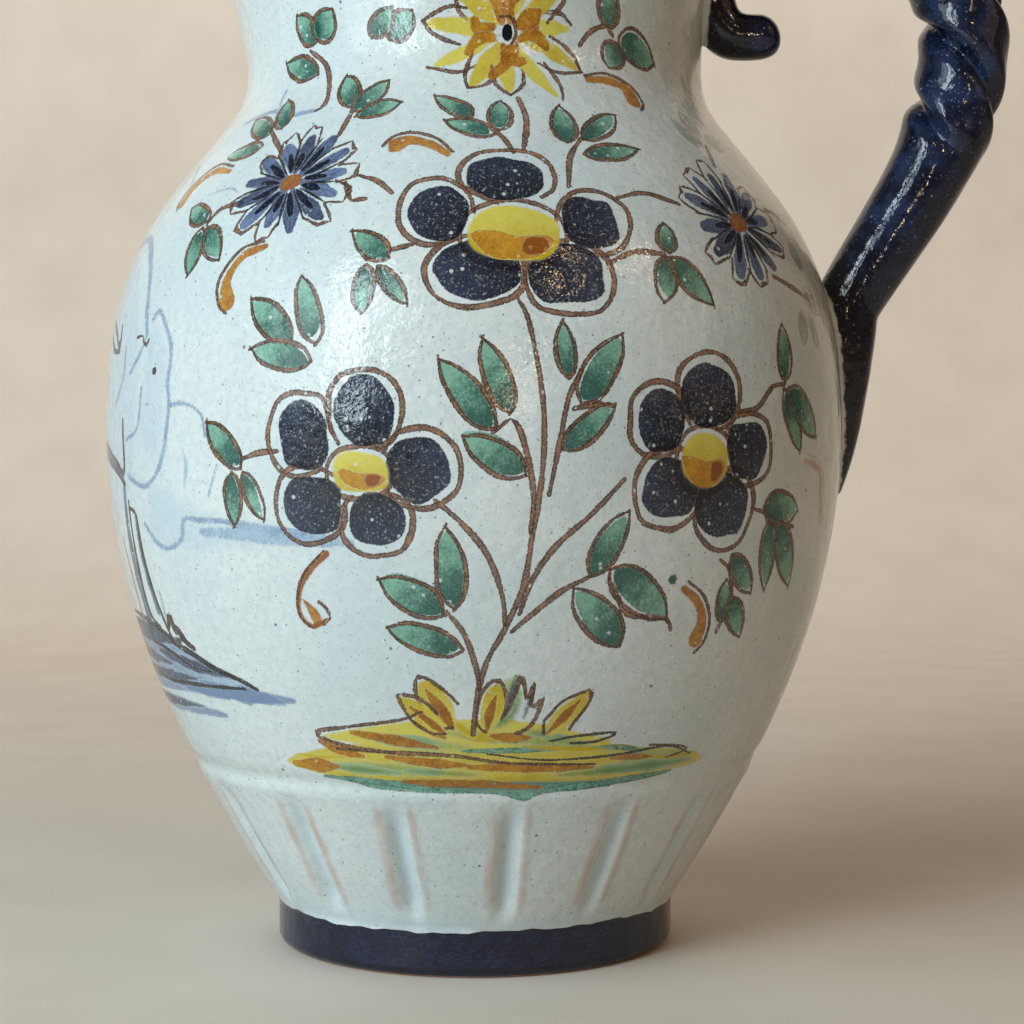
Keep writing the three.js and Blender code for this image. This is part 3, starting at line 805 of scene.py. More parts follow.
def tree(sheet):
    """A bare tree with two trunks and broken boughs"""
    sheet.line([(-63.9, 117.6), (-64.6, 108), (-64.6, 98), (-64.2, 86.4)], "slate", [3, 4, 4.6, 5], load=0.4)
    sheet.line([(-60.4, 109.6), (-60.2, 98), (-59, 87)], "slate", [2, 3.2, 2.4], load=0.4)
    sheet.line([(-69, 104), (-68, 95), (-67.8, 85.6)], "pink", [2.2, 3, 3], load=0.6)
    for points in [
        [(-62.6, 113.6), (-63, 100), (-63, 87), (-60, 83.4)],
        [(-62.5, 112), (-60, 110), (-60, 101.7), (-59, 93.3), (-57.4, 85), (-56.4, 80.8)],
        [(-76, 128.6), (-72, 126.4), (-67, 123.2), (-63.2, 120.6), (-62.9, 133.3)],
        [(-76, 124.6), (-72, 123.2), (-67.5, 120.8), (-63.5, 117.6)],
        [(-74, 158), (-70, 154.6), (-66.4, 150.4), (-66.6, 156)],
        [(-74, 154.4), (-70, 150.4), (-66.4, 150)],
    ]:
        sheet.line(points, "dark line", [1.2, 1.8, 1.3], load=0.5)
    sheet.line([(-76, 126.6), (-70, 123.2), (-64, 119.4)], "slate", [4, 4, 2.2], load=0.5)
    sheet.line([(-58.4, 152.4), (-56.6, 152.6), (-55.4, 149.8), (-54.4, 151.4)], "line", 0.9)
    sheet.area(oval(-52.1, 143.9, 0.7, 1.1), "line", load=0.9)


def scenery(sheet):
    """The middle of the landscape under the spout: a tall tree, a hill and the clouds behind them"""
    for offset, height in [(-90, 150), (-98, 128), (-84, 122), (-93, 172)]:
        crown = oval(offset, height, 7.5, 9)
        sheet.area(crown, "wash", load=0.3, wobble=2.2)
        sheet.line(crown, "wash", 1.5, closed=True, wobble=2.2)
    sheet.line([(-91, 168), (-90.5, 130), (-89, 84)], "slate", [1.8, 3.4, 6], load=0.5)
    for points in [[(-92, 166), (-91.6, 130), (-91, 84)], [(-88.9, 150), (-88.6, 120), (-86.6, 84)],
                   [(-90, 128), (-94, 136), (-98, 139)], [(-89.6, 118), (-86, 127), (-83.4, 130)]]:
        sheet.line(points, "dark line", 1.2)
    sheet.line([(-76, 88), (-84, 92.6), (-92, 91), (-104, 88)], "slate", 1.4)


def paint_body():
    """All the painting on the body, with the spray on both sides, and the wavy upper edge of the blue foot"""
    sheet = Sheet()
    scenery(sheet)
    for side in (1, -1):
        sheet.side = side
        clouds(sheet)
        ground(sheet)
        tree(sheet)
        mound(sheet)
        spray(sheet)
    angle = np.linspace(SEAM, SEAM + 360, 300)
    height = FOOT_TOP + 0.15
    for waves, swing in ((3, 0.35), (11, 0.2), (29, 0.16), (53, 0.1)):
        height = height + swing * np.sin(np.radians(waves * angle))
    foot_edge = np.column_stack([angle * DEGREE, height])
    sheet.pin(foot_edge, closed=False)
    return sheet, foot_edge


def wall_rows(bottom, top):
    """Heights of the rows between the two ends of the wall"""
    return np.linspace(bottom, top, int((top - bottom) / ROW))[1:-1]


def grid(bottom, top):
    """Points all over the sheet: rows at even steps, with extra columns across the flutes"""
    points = []
    for index, height in enumerate(wall_rows(bottom, top)):
        angles = COLUMN_ANGLES[:-1] + (index % 2) * 180 / COLUMNS
        if FOOT_TOP < height < RIDGE + ROW:
            half = flute_half(height)
            away = np.abs(flute_offset(angles)) / half
            middles = FLUTE_TURN + np.arange(FLUTE_COUNT) * 360 / FLUTE_COUNT
            middles = (middles - SEAM) % 360 + SEAM
            across = (middles[:, None] + half * np.linspace(-1.1, 1.1, 12)).ravel()
            angles = np.concatenate([angles[away > 1.3], across])
        angles = angles[(angles > SEAM + 0.5) & (angles < SEAM + 359.5)]
        points.append(np.column_stack([angles * DEGREE, np.full(len(angles), height)]))
    return np.vstack(points)


def clear_of(points, others, gap):
    """The points that keep a gap from all the others"""
    tree = kdtree.KDTree(len(others))
    for index, (x, y) in enumerate(others):
        tree.insert((x, y, 0), index)
    tree.balance()
    return np.array([point for point in points if tree.find((*point, 0))[2] > gap])


def edge_points(bottom, top):
    """Points round the sheet's border: both ends of the wall and both sides of the seam"""
    around, rows = COLUMN_ANGLES * DEGREE, wall_rows(bottom, top)
    ends = [np.column_stack([around, np.full(len(around), height)]) for height in (bottom, top)]
    sides = [np.column_stack([np.full(len(rows), side), rows]) for side in around[[0, -1]]]
    return np.vstack(ends + sides)


def triangulate(sheet, bottom, top):
    """The sheet's triangles, with every painted edge among their sides"""
    marks = np.array(sheet.points)
    borders = edge_points(bottom, top)
    filler = clear_of(grid(bottom, top), marks, CLEARANCE)
    every = [Vector(point) for point in np.vstack([marks, borders, filler])]
    vertices, _, faces, *_ = delaunay_2d_cdt(every, sheet.edges, [], 0, 1e-4, False)
    points = np.array([tuple(vertex) for vertex in vertices])
    faces = np.array(faces)
    first, second, third = points[faces[:, 0]], points[faces[:, 1]], points[faces[:, 2]]
    size = np.cross(second - first, third - first)
    sound = np.abs(size) > 1e-7
    faces, size = faces[sound], size[sound]
    faces[size < 0] = faces[size < 0][:, ::-1]
    return points, faces


def owners(sheet, centres):
    """The topmost mark over each centre and the one under it, or -1"""
    owner = np.full(len(centres), -1)
    below = owner.copy()
    for index, mark in enumerate(sheet.marks):
        near = np.flatnonzero(((centres >= mark.low) & (centres <= mark.high)).all(axis=1))
        if len(near):
            covered = near[mark.covers(centres[near])]
            below[covered] = owner[covered]
            owner[covered] = index
    return owner, below


def corner_paint(sheet, foot_edge, points, faces):
    """Colours and brush marks of the triangles' corners"""
    centres = points[faces].mean(axis=1)
    owner, below = owners(sheet, centres)
    corners = points[faces]
    under = np.zeros((*faces.shape, 4))
    for index in np.unique(below[below >= 0]):
        thin_colour, thick_colour, cover, *_ = PAINTS[sheet.marks[index].paint]
        under[below == index] = (*mix(np.array(thin_colour), np.array(thick_colour), 0.4), cover * 0.9)
    thin = np.zeros((*faces.shape, 4))
    thick = np.zeros((*faces.shape, 4))
    brush = np.zeros((*faces.shape, 3))
    hatch = np.zeros((*faces.shape, 3))

    def dip(chosen, paint, depth, load, streak, along):
        thin_colour, thick_colour, cover, grain, softness = PAINTS[paint]
        thin[chosen] = (*thin_colour, cover)
        thick[chosen] = (*thick_colour, grain)
        brush[chosen] = np.stack([depth, load, np.full_like(depth, streak)], axis=-1)
        hatch[chosen, :, :2] = along
        hatch[chosen, :, 2] = softness

    for index in np.unique(owner[owner >= 0]):
        mark = sheet.marks[index]
        chosen = np.flatnonzero(owner == index)
        flat = corners[chosen].reshape(-1, 2)
        shape = (len(chosen), 3)
        dip(chosen, mark.paint, mark.depth(flat).reshape(shape), mark.loads(flat).reshape(shape), mark.streak,
            mark.across(flat).reshape(*shape, 2))
    band = np.flatnonzero((owner < 0) & (centres[:, 1] < np.interp(centres[:, 0], *foot_edge.T)))
    depth = np.interp(corners[band][..., 0], *foot_edge.T) - corners[band][..., 1]
    dip(band, "foot", np.maximum(depth, 0), np.full_like(depth, 0.5), 0.9, corners[band][..., ::-1])
    return {"thin": thin, "thick": thick, "under": under, "brush": brush, "hatch": hatch}


def ring_rows():
    """The rest of the body as rows of (height, inset from the outside, radius or None), from the foot's
    edge inwards under the foot, and from the lip down the inside to the middle of the floor"""
    turn = np.radians(np.linspace(0, 90, 6))[1:]
    under = [(FOOT_ROUNDING * (1 - np.sin(a)), FOOT_ROUNDING * (1 - np.cos(a)), None) for a in turn]
    under += [(0, None, radius) for radius in np.linspace(FOOT_RADIUS - FOOT_ROUNDING, 1, 10)[1:]]
    lip = [(RIM - LIP_ROUNDING * (1 - np.sin(a)), LIP_ROUNDING * (1 - np.cos(a)), None) for a in turn]
    far = WALL - LIP_ROUNDING
    lip += [(RIM - LIP_ROUNDING * (1 - np.cos(a)), far + LIP_ROUNDING * np.sin(a), None) for a in turn]
    bottom = FOOT_TOP + FLOOR
    down = np.linspace(RIM - LIP_ROUNDING, bottom + WALL, INNER_ROWS)[1:]
    inside = [(height, WALL, None) for height in down]
    corner = [(bottom + WALL * (1 - np.sin(a)), WALL + WALL * (1 - np.cos(a)), None) for a in turn]
    floor_radius = radius_at(bottom) - 2 * WALL
    floor = [(bottom, None, radius) for radius in np.linspace(floor_radius, 1, 10)[1:]]
    return under, lip + inside + corner + floor


def ring(height, inset, radius):
    """One row's points, all the way round"""
    if radius is None:
        wall = radius_at(height) + spout_pull(COLUMN_ANGLES, np.full_like(COLUMN_ANGLES, height))
        radius = wall - inset
    return round_axis(radius, COLUMN_ANGLES, height)


def quads(a, b, c, d):
    """Two triangles for each patch between four corners, given as arrays of vertex numbers"""
    a, b, c, d = a.ravel(), b.ravel(), c.ravel(), d.ravel()
    return [np.column_stack([a, b, c]), np.column_stack([a, c, d])]


def skin(rows, first, count, flip):
    """Triangles between rows of points, the first row being vertices that are there already"""
    faces = []
    above = first
    for index in range(len(rows)):
        here = count + index * (COLUMNS + 1) + np.arange(COLUMNS + 1)
        faces += quads(above[:-1], above[1:], here[1:], here[:-1])
        above = here
    faces = np.vstack(faces)
    return faces[:, ::-1] if flip else faces


def ring_normals(rows, first):
    """Smooth normals for rows of points, from the surface they lie on"""
    grid_points = np.stack([first] + rows)
    around = np.roll(grid_points[:, :-1], -1, axis=1) - np.roll(grid_points[:, :-1], 1, axis=1)
    around = np.concatenate([around, around[:, :1]], axis=1)
    down = np.gradient(grid_points, axis=0)
    normal = np.cross(down, around)
    return (normal / np.maximum(np.linalg.norm(normal, axis=-1, keepdims=True), 1e-9))[1:]


def add_paint(mesh, paint, glazed, rest):
    """Gives the wall's corners their paint, the next few triangles the foot's glaze, and the rest none"""
    thin_colour, thick_colour, cover, grain, softness = PAINTS["foot"]
    foot = {"thin": (*thin_colour, cover), "thick": (*thick_colour, grain), "brush": (3, 0.6, 0.3),
            "hatch": (0, 0, softness), "under": (0, 0, 0, 0)}
    for name, values in paint.items():
        width = values.shape[-1]
        every = np.concatenate([values.reshape(-1, width), np.full((glazed * 3, width), foot[name], float),
                                np.zeros((rest * 3, width))])
        kind, field = ("FLOAT_COLOR", "color") if width == 4 else ("FLOAT_VECTOR", "vector")
        mesh.attributes.new(name, kind, "CORNER").data.foreach_set(field, every.ravel())


def make_body():
    """The painted body as one mesh"""
    sheet, foot_edge = paint_body()
    bottom, top = FOOT_ROUNDING, RIM - LIP_ROUNDING
    flat, wall = triangulate(sheet, bottom, top)
    angle, height = flat[:, 0] / DEGREE, flat[:, 1]
    points = on_body(angle, height)
    vertices, faces, shading = [points], [wall], [body_normals(angle, height)]
    for spec, end, flip in zip(ring_rows(), (bottom, top), (True, False)):
        edge = np.flatnonzero(np.abs(height - end) < 1e-3)
        edge = edge[np.argsort(flat[edge, 0])]
        rows = [ring(*row) for row in spec]
        faces.append(skin(rows, edge, sum(map(len, vertices)), flip))
        around = ring_normals(rows, points[edge]) * (1 if flip else -1)
        vertices.append(np.vstack(rows))
        shading.append(around.reshape(-1, 3))
    mesh = mesh_of("painted_body", np.vstack(vertices), np.vstack(faces), np.vstack(shading))
    outside, under, inside = map(len, faces)
    glazed = COLUMNS * 2 * EDGE_ROWS
    add_paint(mesh, corner_paint(sheet, foot_edge, flat, wall), glazed, under - glazed + inside)
    # Glaze run on the flutes, and a painted shade line along the crease over the ridge
    glaze_run_and_shade = np.zeros(len(mesh.vertices))
    glaze_run_and_shade[:len(flat)] = flute_run_and_crease_shade(angle, height)
    mesh.attributes.new("glaze_run_and_shade", "FLOAT", "POINT").data.foreach_set("value", glaze_run_and_shade)
    bare = np.zeros(len(mesh.polygons), dtype=np.int32)
    bare[outside + glazed:outside + under] = 1
    mesh.polygons.foreach_set("material_index", bare)
    body = new_object(mesh)
    body.data.materials.append(painted_glaze())
    body.data.materials.append(bare_clay())
    return body


def flute_run_and_crease_shade(angle, z):
    """How the glaze has run: thin on the two edges of each flute, and pooled in its middle and just above the
    foot, which is less than nothing. Just over the ridge it is a painted shade line along the crease, in the
    thin glaze's colour"""
    across = np.abs(flute_offset(angle)) / flute_half(z)
    ends = smoothstep(z, FOOT_TOP + 3, FOOT_TOP + 9) * (1 - smoothstep(z, RIDGE - 8, RIDGE - 1))
    run = ends * (hump(across - 1.05, 0.3) - 0.8 * hump(across, 0.55))
    # Just over the ridge: a painted shade line along the crease, drawn as thin glaze
    return run - 0.6 * hump(z - FOOT_TOP - 2.3, 1.8) + 0.45 * hump(z - RIDGE - 0.5, 1.1)


def mesh_of(name, vertices, faces, normals=None):
    """A smooth triangle mesh from points in millimetres"""
    mesh = bpy.data.meshes.new(name)
    mesh.from_pydata((vertices * MM).tolist(), [], faces.tolist())
    mesh.polygons.foreach_set("use_smooth", np.ones(len(mesh.polygons), dtype=bool))
    if normals is not None:
        mesh.normals_split_custom_set_from_vertices(normals.tolist())
    mesh.update()
    return mesh


def new_object(mesh):
    item = bpy.data.objects.new(mesh.name, mesh)
    bpy.context.scene.collection.objects.link(item)
    return item


# The handle

def bezier(p0, p1, p2, p3):
    """Points of a curve from the first point to the last, with the other two as its handles"""
    s = np.linspace(0, 1, 400)[:, None]
    return (1 - s) ** 3 * p0 + 3 * (1 - s) ** 2 * s * p1 + 3 * (1 - s) * s ** 2 * p2 + s ** 3 * p3


def handle_path():
    """The handle's centre line as (x, z), from the belly up and over to the neck"""
    lower, upper = radius_at(LOWER_ROOT), radius_at(UPPER_ROOT)
    reach = BELLY_RADIUS + HANDLE_REACH
    rise = UPPER_ROOT - LOWER_ROOT
    crest = LOWER_ROOT + 0.78 * rise
    rising = bezier(*np.array([
        (lower + 0.25 * STEM_RADIUS, LOWER_ROOT - 0.7 * STEM_RADIUS),
        (lower + 0.52 * HANDLE_REACH, LOWER_ROOT + 0.23 * rise),
        (reach, LOWER_ROOT + 0.44 * rise), (reach, crest)]))
    over = bezier(*np.array([
        (reach, crest), (reach, crest + 0.34 * rise),
        (mix(upper, reach, 0.36), UPPER_ROOT + 0.29 * rise), (upper, UPPER_ROOT)]))
    return np.vstack([rising, over[1:]])


def strands_radius(around):
    """Outline of two oval strands side by side"""
    across = np.abs(np.cos(around)) / (STRAND_THICKNESS / 2)
    along = np.sin(around) / (STRAND_WIDTH / 2)
    shift = STRAND_SPACING / STRAND_THICKNESS
    square = across ** 2 + along ** 2
    return (across * shift + np.sqrt((across * shift) ** 2 + square * (1 - shift ** 2))) / square


def tube(path, section):
    """A closed tube along a path of (x, z) points. A function gives its radius and its turn, from the
    distance travelled, the share of the length and the angles round it."""
    travelled = np.concatenate([[0], np.cumsum(np.linalg.norm(np.diff(path, axis=0), axis=1))])
    at = np.linspace(0, travelled[-1], int(travelled[-1] / TUBE_STEP))
    x, z = (np.interp(at, travelled, path[:, axis]) for axis in (0, 1))
    way = np.gradient(np.column_stack([x, z]), axis=0)
    way /= np.linalg.norm(way, axis=1, keepdims=True)
    around = np.arange(TUBE_SIDES) * 2 * np.pi / TUBE_SIDES
    radius, turn = section(at[:, None], at[:, None] / travelled[-1], around[None, :])
    out, side = radius * np.cos(around - turn), radius * np.sin(around - turn)
    rows = np.stack([x[:, None] + out * way[:, 1:], side, z[:, None] - out * way[:, :1]], axis=-1)
    vertices = np.vstack([rows.reshape(-1, 3), [x[0], 0, z[0]], [x[-1], 0, z[-1]]])
    corner = np.arange(rows.size // 3).reshape(len(at), TUBE_SIDES)
    after = np.roll(corner, -1, axis=1)
    faces = quads(corner[:-1], after[:-1], after[1:], corner[1:])
    start, end = np.full(TUBE_SIDES, corner.size), np.full(TUBE_SIDES, corner.size + 1)
    faces += [np.column_stack([start, after[0], corner[0]]), np.column_stack([end, corner[-1], after[-1]])]
    return vertices, np.vstack(faces)


def handle_tube():
    """The stem, and the twist above it"""
    def section(travelled, share, around):
        twisted = travelled - STEM_LENGTH
        turn = 2 * np.pi * np.maximum(twisted, 0) / TWIST_PITCH
        divided = smoothstep(twisted, -0.1 * TWIST_PITCH, 0.17 * TWIST_PITCH)
        stem = STEM_RADIUS * (0.82 + 0.22 * travelled / STEM_LENGTH)
        return mix(stem, strands_radius(around), divided), turn
    return tube(handle_path(), section)


def tail_tube():
    """The tail that runs down the belly"""
    along = np.array([0, 0.12, 0.3, 0.5, 0.75, 1])
    lift = np.array([0.5, 0.35, 0.15, 0.02, -0.07, -0.08])
    z = LOWER_ROOT - along * TAIL_LENGTH
    line = np.column_stack([radius_at(z) + lift * STEM_RADIUS, z])

    def section(travelled, share, around):
        return STEM_RADIUS * (0.93 - 0.25 * share - 0.4 * share ** 3) + 0 * around, 0
    return tube(catmull_rom(line, 20), section)


def curl_tube():
    """The curl that hangs from the neck"""
    across = np.array([0, 0.04, 0.12, 0.32, 0.56, 0.8, 1])
    down = np.array([0, 0.37, 0.68, 0.95, 1, 0.985, 0.93])
    z = UPPER_ROOT - down * CURL_DROP
    line = np.column_stack([radius_at(z) + across * CURL_REACH, z])

    def section(travelled, share, around):
        rounding = np.sqrt(1 - np.maximum((share - 0.86) / 0.142, 0) ** 2)
        return CURL_RADIUS * (1.1 - 0.22 * share) * rounding + 0 * around, 0
    return tube(catmull_rom(line, 20), section)


def root_patch(low, high, spread):
    """A slab just inside the wall behind a root, which the handle's fillet runs out on"""
    angle, z = np.meshgrid(np.linspace(90 - spread, 90 + spread, 40), np.linspace(low, high, 40))
    sheets = [round_axis(radius_at(z) - inset, angle, z) for inset in (0.2, 4.0)]
    index = np.arange(angle.size).reshape(angle.shape)
    back = index + angle.size
    faces = quads(index[:-1, :-1], index[:-1, 1:], index[1:, 1:], index[1:, :-1])
    faces += quads(back[:-1, :-1], back[1:, :-1], back[1:, 1:], back[:-1, 1:])
    for near, far in ((index[0], back[0]), (index[:, -1], back[:, -1]), (index[-1][::-1], back[-1][::-1]),
                      (index[:, 0][::-1], back[:, 0][::-1])):
        faces += quads(near[:-1], far[:-1], far[1:], near[1:])
    return np.vstack([sheet.reshape(-1, 3) for sheet in sheets]), np.vstack(faces)


def make_handle():
    """The twisted handle, its tail and its curl as one smooth skin with filleted joins"""
    parts = [handle_tube(), tail_tube(), curl_tube(), root_patch(*TAIL_PATCH), root_patch(*CURL_PATCH)]
    starts = np.cumsum([0] + [len(vertices) for vertices, _ in parts])
    vertices = np.vstack([vertices for vertices, _ in parts])
    faces = np.vstack([triangles + start for (_, triangles), start in zip(parts, starts)])
    draft = new_object(mesh_of("draft", vertices, faces))
    remesh = draft.modifiers.new("remesh", "REMESH")
    remesh.mode = "VOXEL"
    remesh.voxel_size = VOXEL * MM
    smooth = draft.modifiers.new("smooth", "SMOOTH")
    smooth.factor = 0.5
    smooth.iterations = SMOOTHING
    graph = bpy.context.evaluated_depsgraph_get()
    mesh = bpy.data.meshes.new_from_object(draft.evaluated_get(graph))
    bpy.data.objects.remove(draft)
    return trim_handle(mesh)


def trim_handle(mesh):
    """Drops what lies hidden in the wall, and notes how far the rest stands off the body"""
    points = np.empty(len(mesh.vertices) * 3)
    mesh.vertices.foreach_get("co", points)
    points = points.reshape(-1, 3) / MM
    lift = np.hypot(points[:, 0], points[:, 1]) - radius_at(points[:, 2])
    faces = np.array([tuple(polygon.vertices) for polygon in mesh.polygons])
    kept = faces[lift[faces].max(axis=1) > CUT_OFF]
    used, packed = np.unique(kept, return_inverse=True)
    trimmed = mesh_of("twisted_handle", points[used], packed.reshape(kept.shape))
    bpy.data.meshes.remove(mesh)
    attribute = trimmed.attributes.new("lift", "FLOAT", "POINT")
    attribute.data.foreach_set("value", lift[used])
    handle = new_object(trimmed)
    handle.data.materials.append(blue_glaze())
    return handle


# Colours of the glazes, the clay and the floor

COOL_WHITE = (0.53, 0.60, 0.61, 1)
WARM_WHITE = (0.60, 0.64, 0.63, 1)
GREY_MOTTLE = (0.47, 0.53, 0.55, 1)
PALE_SPECK = (0.74, 0.77, 0.76, 1)
DARK_SPECK = (0.07, 0.085, 0.14, 1)
# The thin glaze's pinkish colour, which also paints the shade line along the crease over the ridge
THIN_GLAZE_AND_CREASE_SHADE = (0.46, 0.34, 0.28, 1)
POOLED_GLAZE = (0.50, 0.60, 0.65, 1)
DIPPED_GLAZE = (0.56, 0.61, 0.61, 1)
PAINT_DUST = (0.20, 0.24, 0.30, 1)
DEEP_BLUE = (0.004, 0.007, 0.020, 1)
CLOUDED_BLUE = (0.014, 0.025, 0.068, 1)
BLUE_GRAIN = (0.13, 0.17, 0.27, 1)
BLUE_BUBBLE = (0.22, 0.27, 0.38, 1)
PALE_SPOT = (0.5, 0.55, 0.6, 1)
ROOT_BLACK = (0.006, 0.006, 0.009, 1)
RUST = (0.20, 0.11, 0.065, 1)
RED_CLAY = (0.36, 0.17, 0.09, 1)
PALE_CLAY = (0.46, 0.25, 0.14, 1)
CLAY_GRIT = (0.16, 0.08, 0.05, 1)
FLOOR_SHADE = (0.62, 0.56, 0.49, 1)
FLOOR_LIGHT = (0.66, 0.60, 0.53, 1)

# Dark specks of the white glaze, as (spacing, radius, how many of the places have one, how dark it is)
DARK_SPECKS = [(6.5, 0.5, 0.4, 0.8), (2.5, 0.28, 0.65, 0.8), (1.0, 0.18, 0.7, 0.6)]


# Materials

class Shader:
    """A material's node tree, with short ways to add nodes to it"""

    def __init__(self, name):
        self.material = bpy.data.materials.new(name)
        self.material.use_nodes = True
        self.tree = self.material.node_tree
        self.tree.nodes.clear()
        self.surface = self.tree.nodes.new("ShaderNodeBsdfPrincipled")
        output = self.tree.nodes.new("ShaderNodeOutputMaterial")
        self.tree.links.new(self.surface.outputs["BSDF"], output.inputs["Surface"])
        coordinates = self.tree.nodes.new("ShaderNodeTexCoord")
        self.place = coordinates.outputs["Object"]

    def put(self, socket, value):
        """Links a node's output to a socket, or sets the socket to a constant"""
        if hasattr(value, "is_output"):
            self.tree.links.new(value, socket)
        else:
            socket.default_value = value

    def set(self, name, value):
        """Links or sets one of the surface's own inputs"""
        self.put(self.surface.inputs[name], value)

    def attribute(self, name, output="Fac"):
        node = self.tree.nodes.new("ShaderNodeAttribute")
        node.attribute_name = name
        return node.outputs[output]

    def split(self, vector):
        node = self.tree.nodes.new("ShaderNodeSeparateXYZ")
        self.put(node.inputs[0], vector)
        return node.outputs

    def math(self, operation, *values):
        node = self.tree.nodes.new("ShaderNodeMath")
        node.operation = operation
        for socket, value in zip(node.inputs, values):
            self.put(socket, value)
        return node.outputs[0]

    def plus(self, one, other):
        return self.math("ADD", one, other)

    def times(self, one, other):
        return self.math("MULTIPLY", one, other)

    def ramp(self, value, low, high, start=0.0, end=1.0):
        """Smoothly from start to end while the value goes from low to high"""
        node = self.tree.nodes.new("ShaderNodeMapRange")
        node.interpolation_type = "SMOOTHSTEP"
        for socket, number in zip(node.inputs, (value, low, high, start, end)):
            self.put(socket, number)
        return node.outputs[0]

    def noise(self, size, detail, vector=None, roughness=0.5):
        """Noise with features about so many millimetres wide"""
        node = self.tree.nodes.new("ShaderNodeTexNoise")
        self.put(node.inputs["Vector"], vector or self.place)
        node.inputs["Scale"].default_value = 1 / (size * MM)
        node.inputs["Detail"].default_value = detail
        node.inputs["Roughness"].default_value = roughness
        return node.outputs["Fac"]

    def centred(self, value):
        return self.math("SUBTRACT", value, 0.5)

    def stretched(self, vector, scale):
        node = self.tree.nodes.new("ShaderNodeVectorMath")
        node.operation = "MULTIPLY"
        self.put(node.inputs[0], vector)
        node.inputs[1].default_value = scale
        return node.outputs[0]

    def blend(self, share, one, other):
        """From one colour to the other"""
        node = self.tree.nodes.new("ShaderNodeMix")
        node.data_type = "RGBA"
        self.put(node.inputs["Factor"], share)
        colours = [socket for socket in node.inputs if socket.type == "RGBA"]
        self.put(colours[0], one)
        self.put(colours[1], other)
        return next(socket for socket in node.outputs if socket.type == "RGBA")

    def bump(self, height, distance, normal=None):
        """A normal tilted by a height so many millimetres high"""
        node = self.tree.nodes.new("ShaderNodeBump")
        node.inputs["Distance"].default_value = distance * MM
        self.put(node.inputs["Height"], height)
        if normal is not None:
            self.put(node.inputs["Normal"], normal)
        return node.outputs[0]

    def dots(self, spacing, size, chance):
        """Round dots of a radius in millimetres on a share of scattered points so far apart"""
        node = self.tree.nodes.new("ShaderNodeTexVoronoi")
        self.put(node.inputs["Vector"], self.place)
        node.inputs["Scale"].default_value = 1 / (spacing * MM)
        inside = self.ramp(node.outputs["Distance"], size / spacing, 0.6 * size / spacing)
        return self.times(inside, self.math("GREATER_THAN", chance, self.split(node.outputs["Color"])[0]))


def glaze_surface(shader, peel, waviness):
    """Gloss, orange peel and slow waves of a tin glaze, with the depths of the last two in millimetres"""
    fine = shader.bump(shader.noise(1.0, 2), peel)
    ripples = shader.bump(shader.noise(3.5, 1), 0.5 * waviness, fine)
    shader.set("Normal", shader.bump(shader.noise(10, 1), waviness, ripples))
    shader.set("Roughness", shader.ramp(shader.noise(4, 2), 0.3, 0.7, 0.05, 0.15))
    shader.set("IOR", 1.52)


def white_glaze(shader):
    """The glaze's own colour: off-white, clouded, with dark and pale specks"""
    colour = shader.blend(shader.ramp(shader.noise(38, 3), 0.35, 0.65), COOL_WHITE, WARM_WHITE)
    mottle = shader.ramp(shader.noise(1.8, 4), 0.35, 0.7)
    colour = shader.blend(shader.times(mottle, 0.55), colour, GREY_MOTTLE)
    colour = shader.blend(shader.times(shader.dots(3.4, 0.45, 0.4), 0.5), colour, PALE_SPECK)
    for spacing, size, chance, strength in DARK_SPECKS:
        specks = shader.times(shader.dots(spacing, size, chance), strength)
        colour = shader.blend(specks, colour, DARK_SPECK)
    return colour


def flowed_glaze(shader):
    """White glaze that has run: pinkish clay shows where it is thin, and it is bluer where it has pooled. The
    same pinkish colour paints a shade line along the crease over the ridge
    """
    run = shader.attribute("glaze_run_and_shade")
    uneven = shader.ramp(shader.noise(8, 2), 0.3, 0.7, 0.3, 0.75)
    # The thin glaze's colour where the glaze has run thin, and as painted shade along the ridge's crease
    colour = shader.blend(shader.times(shader.ramp(run, 0.05, 0.85), uneven), white_glaze(shader), THIN_GLAZE_AND_CREASE_SHADE)
    return shader.blend(shader.times(shader.ramp(run, 0.0, -0.8), 0.7), colour, POOLED_GLAZE)


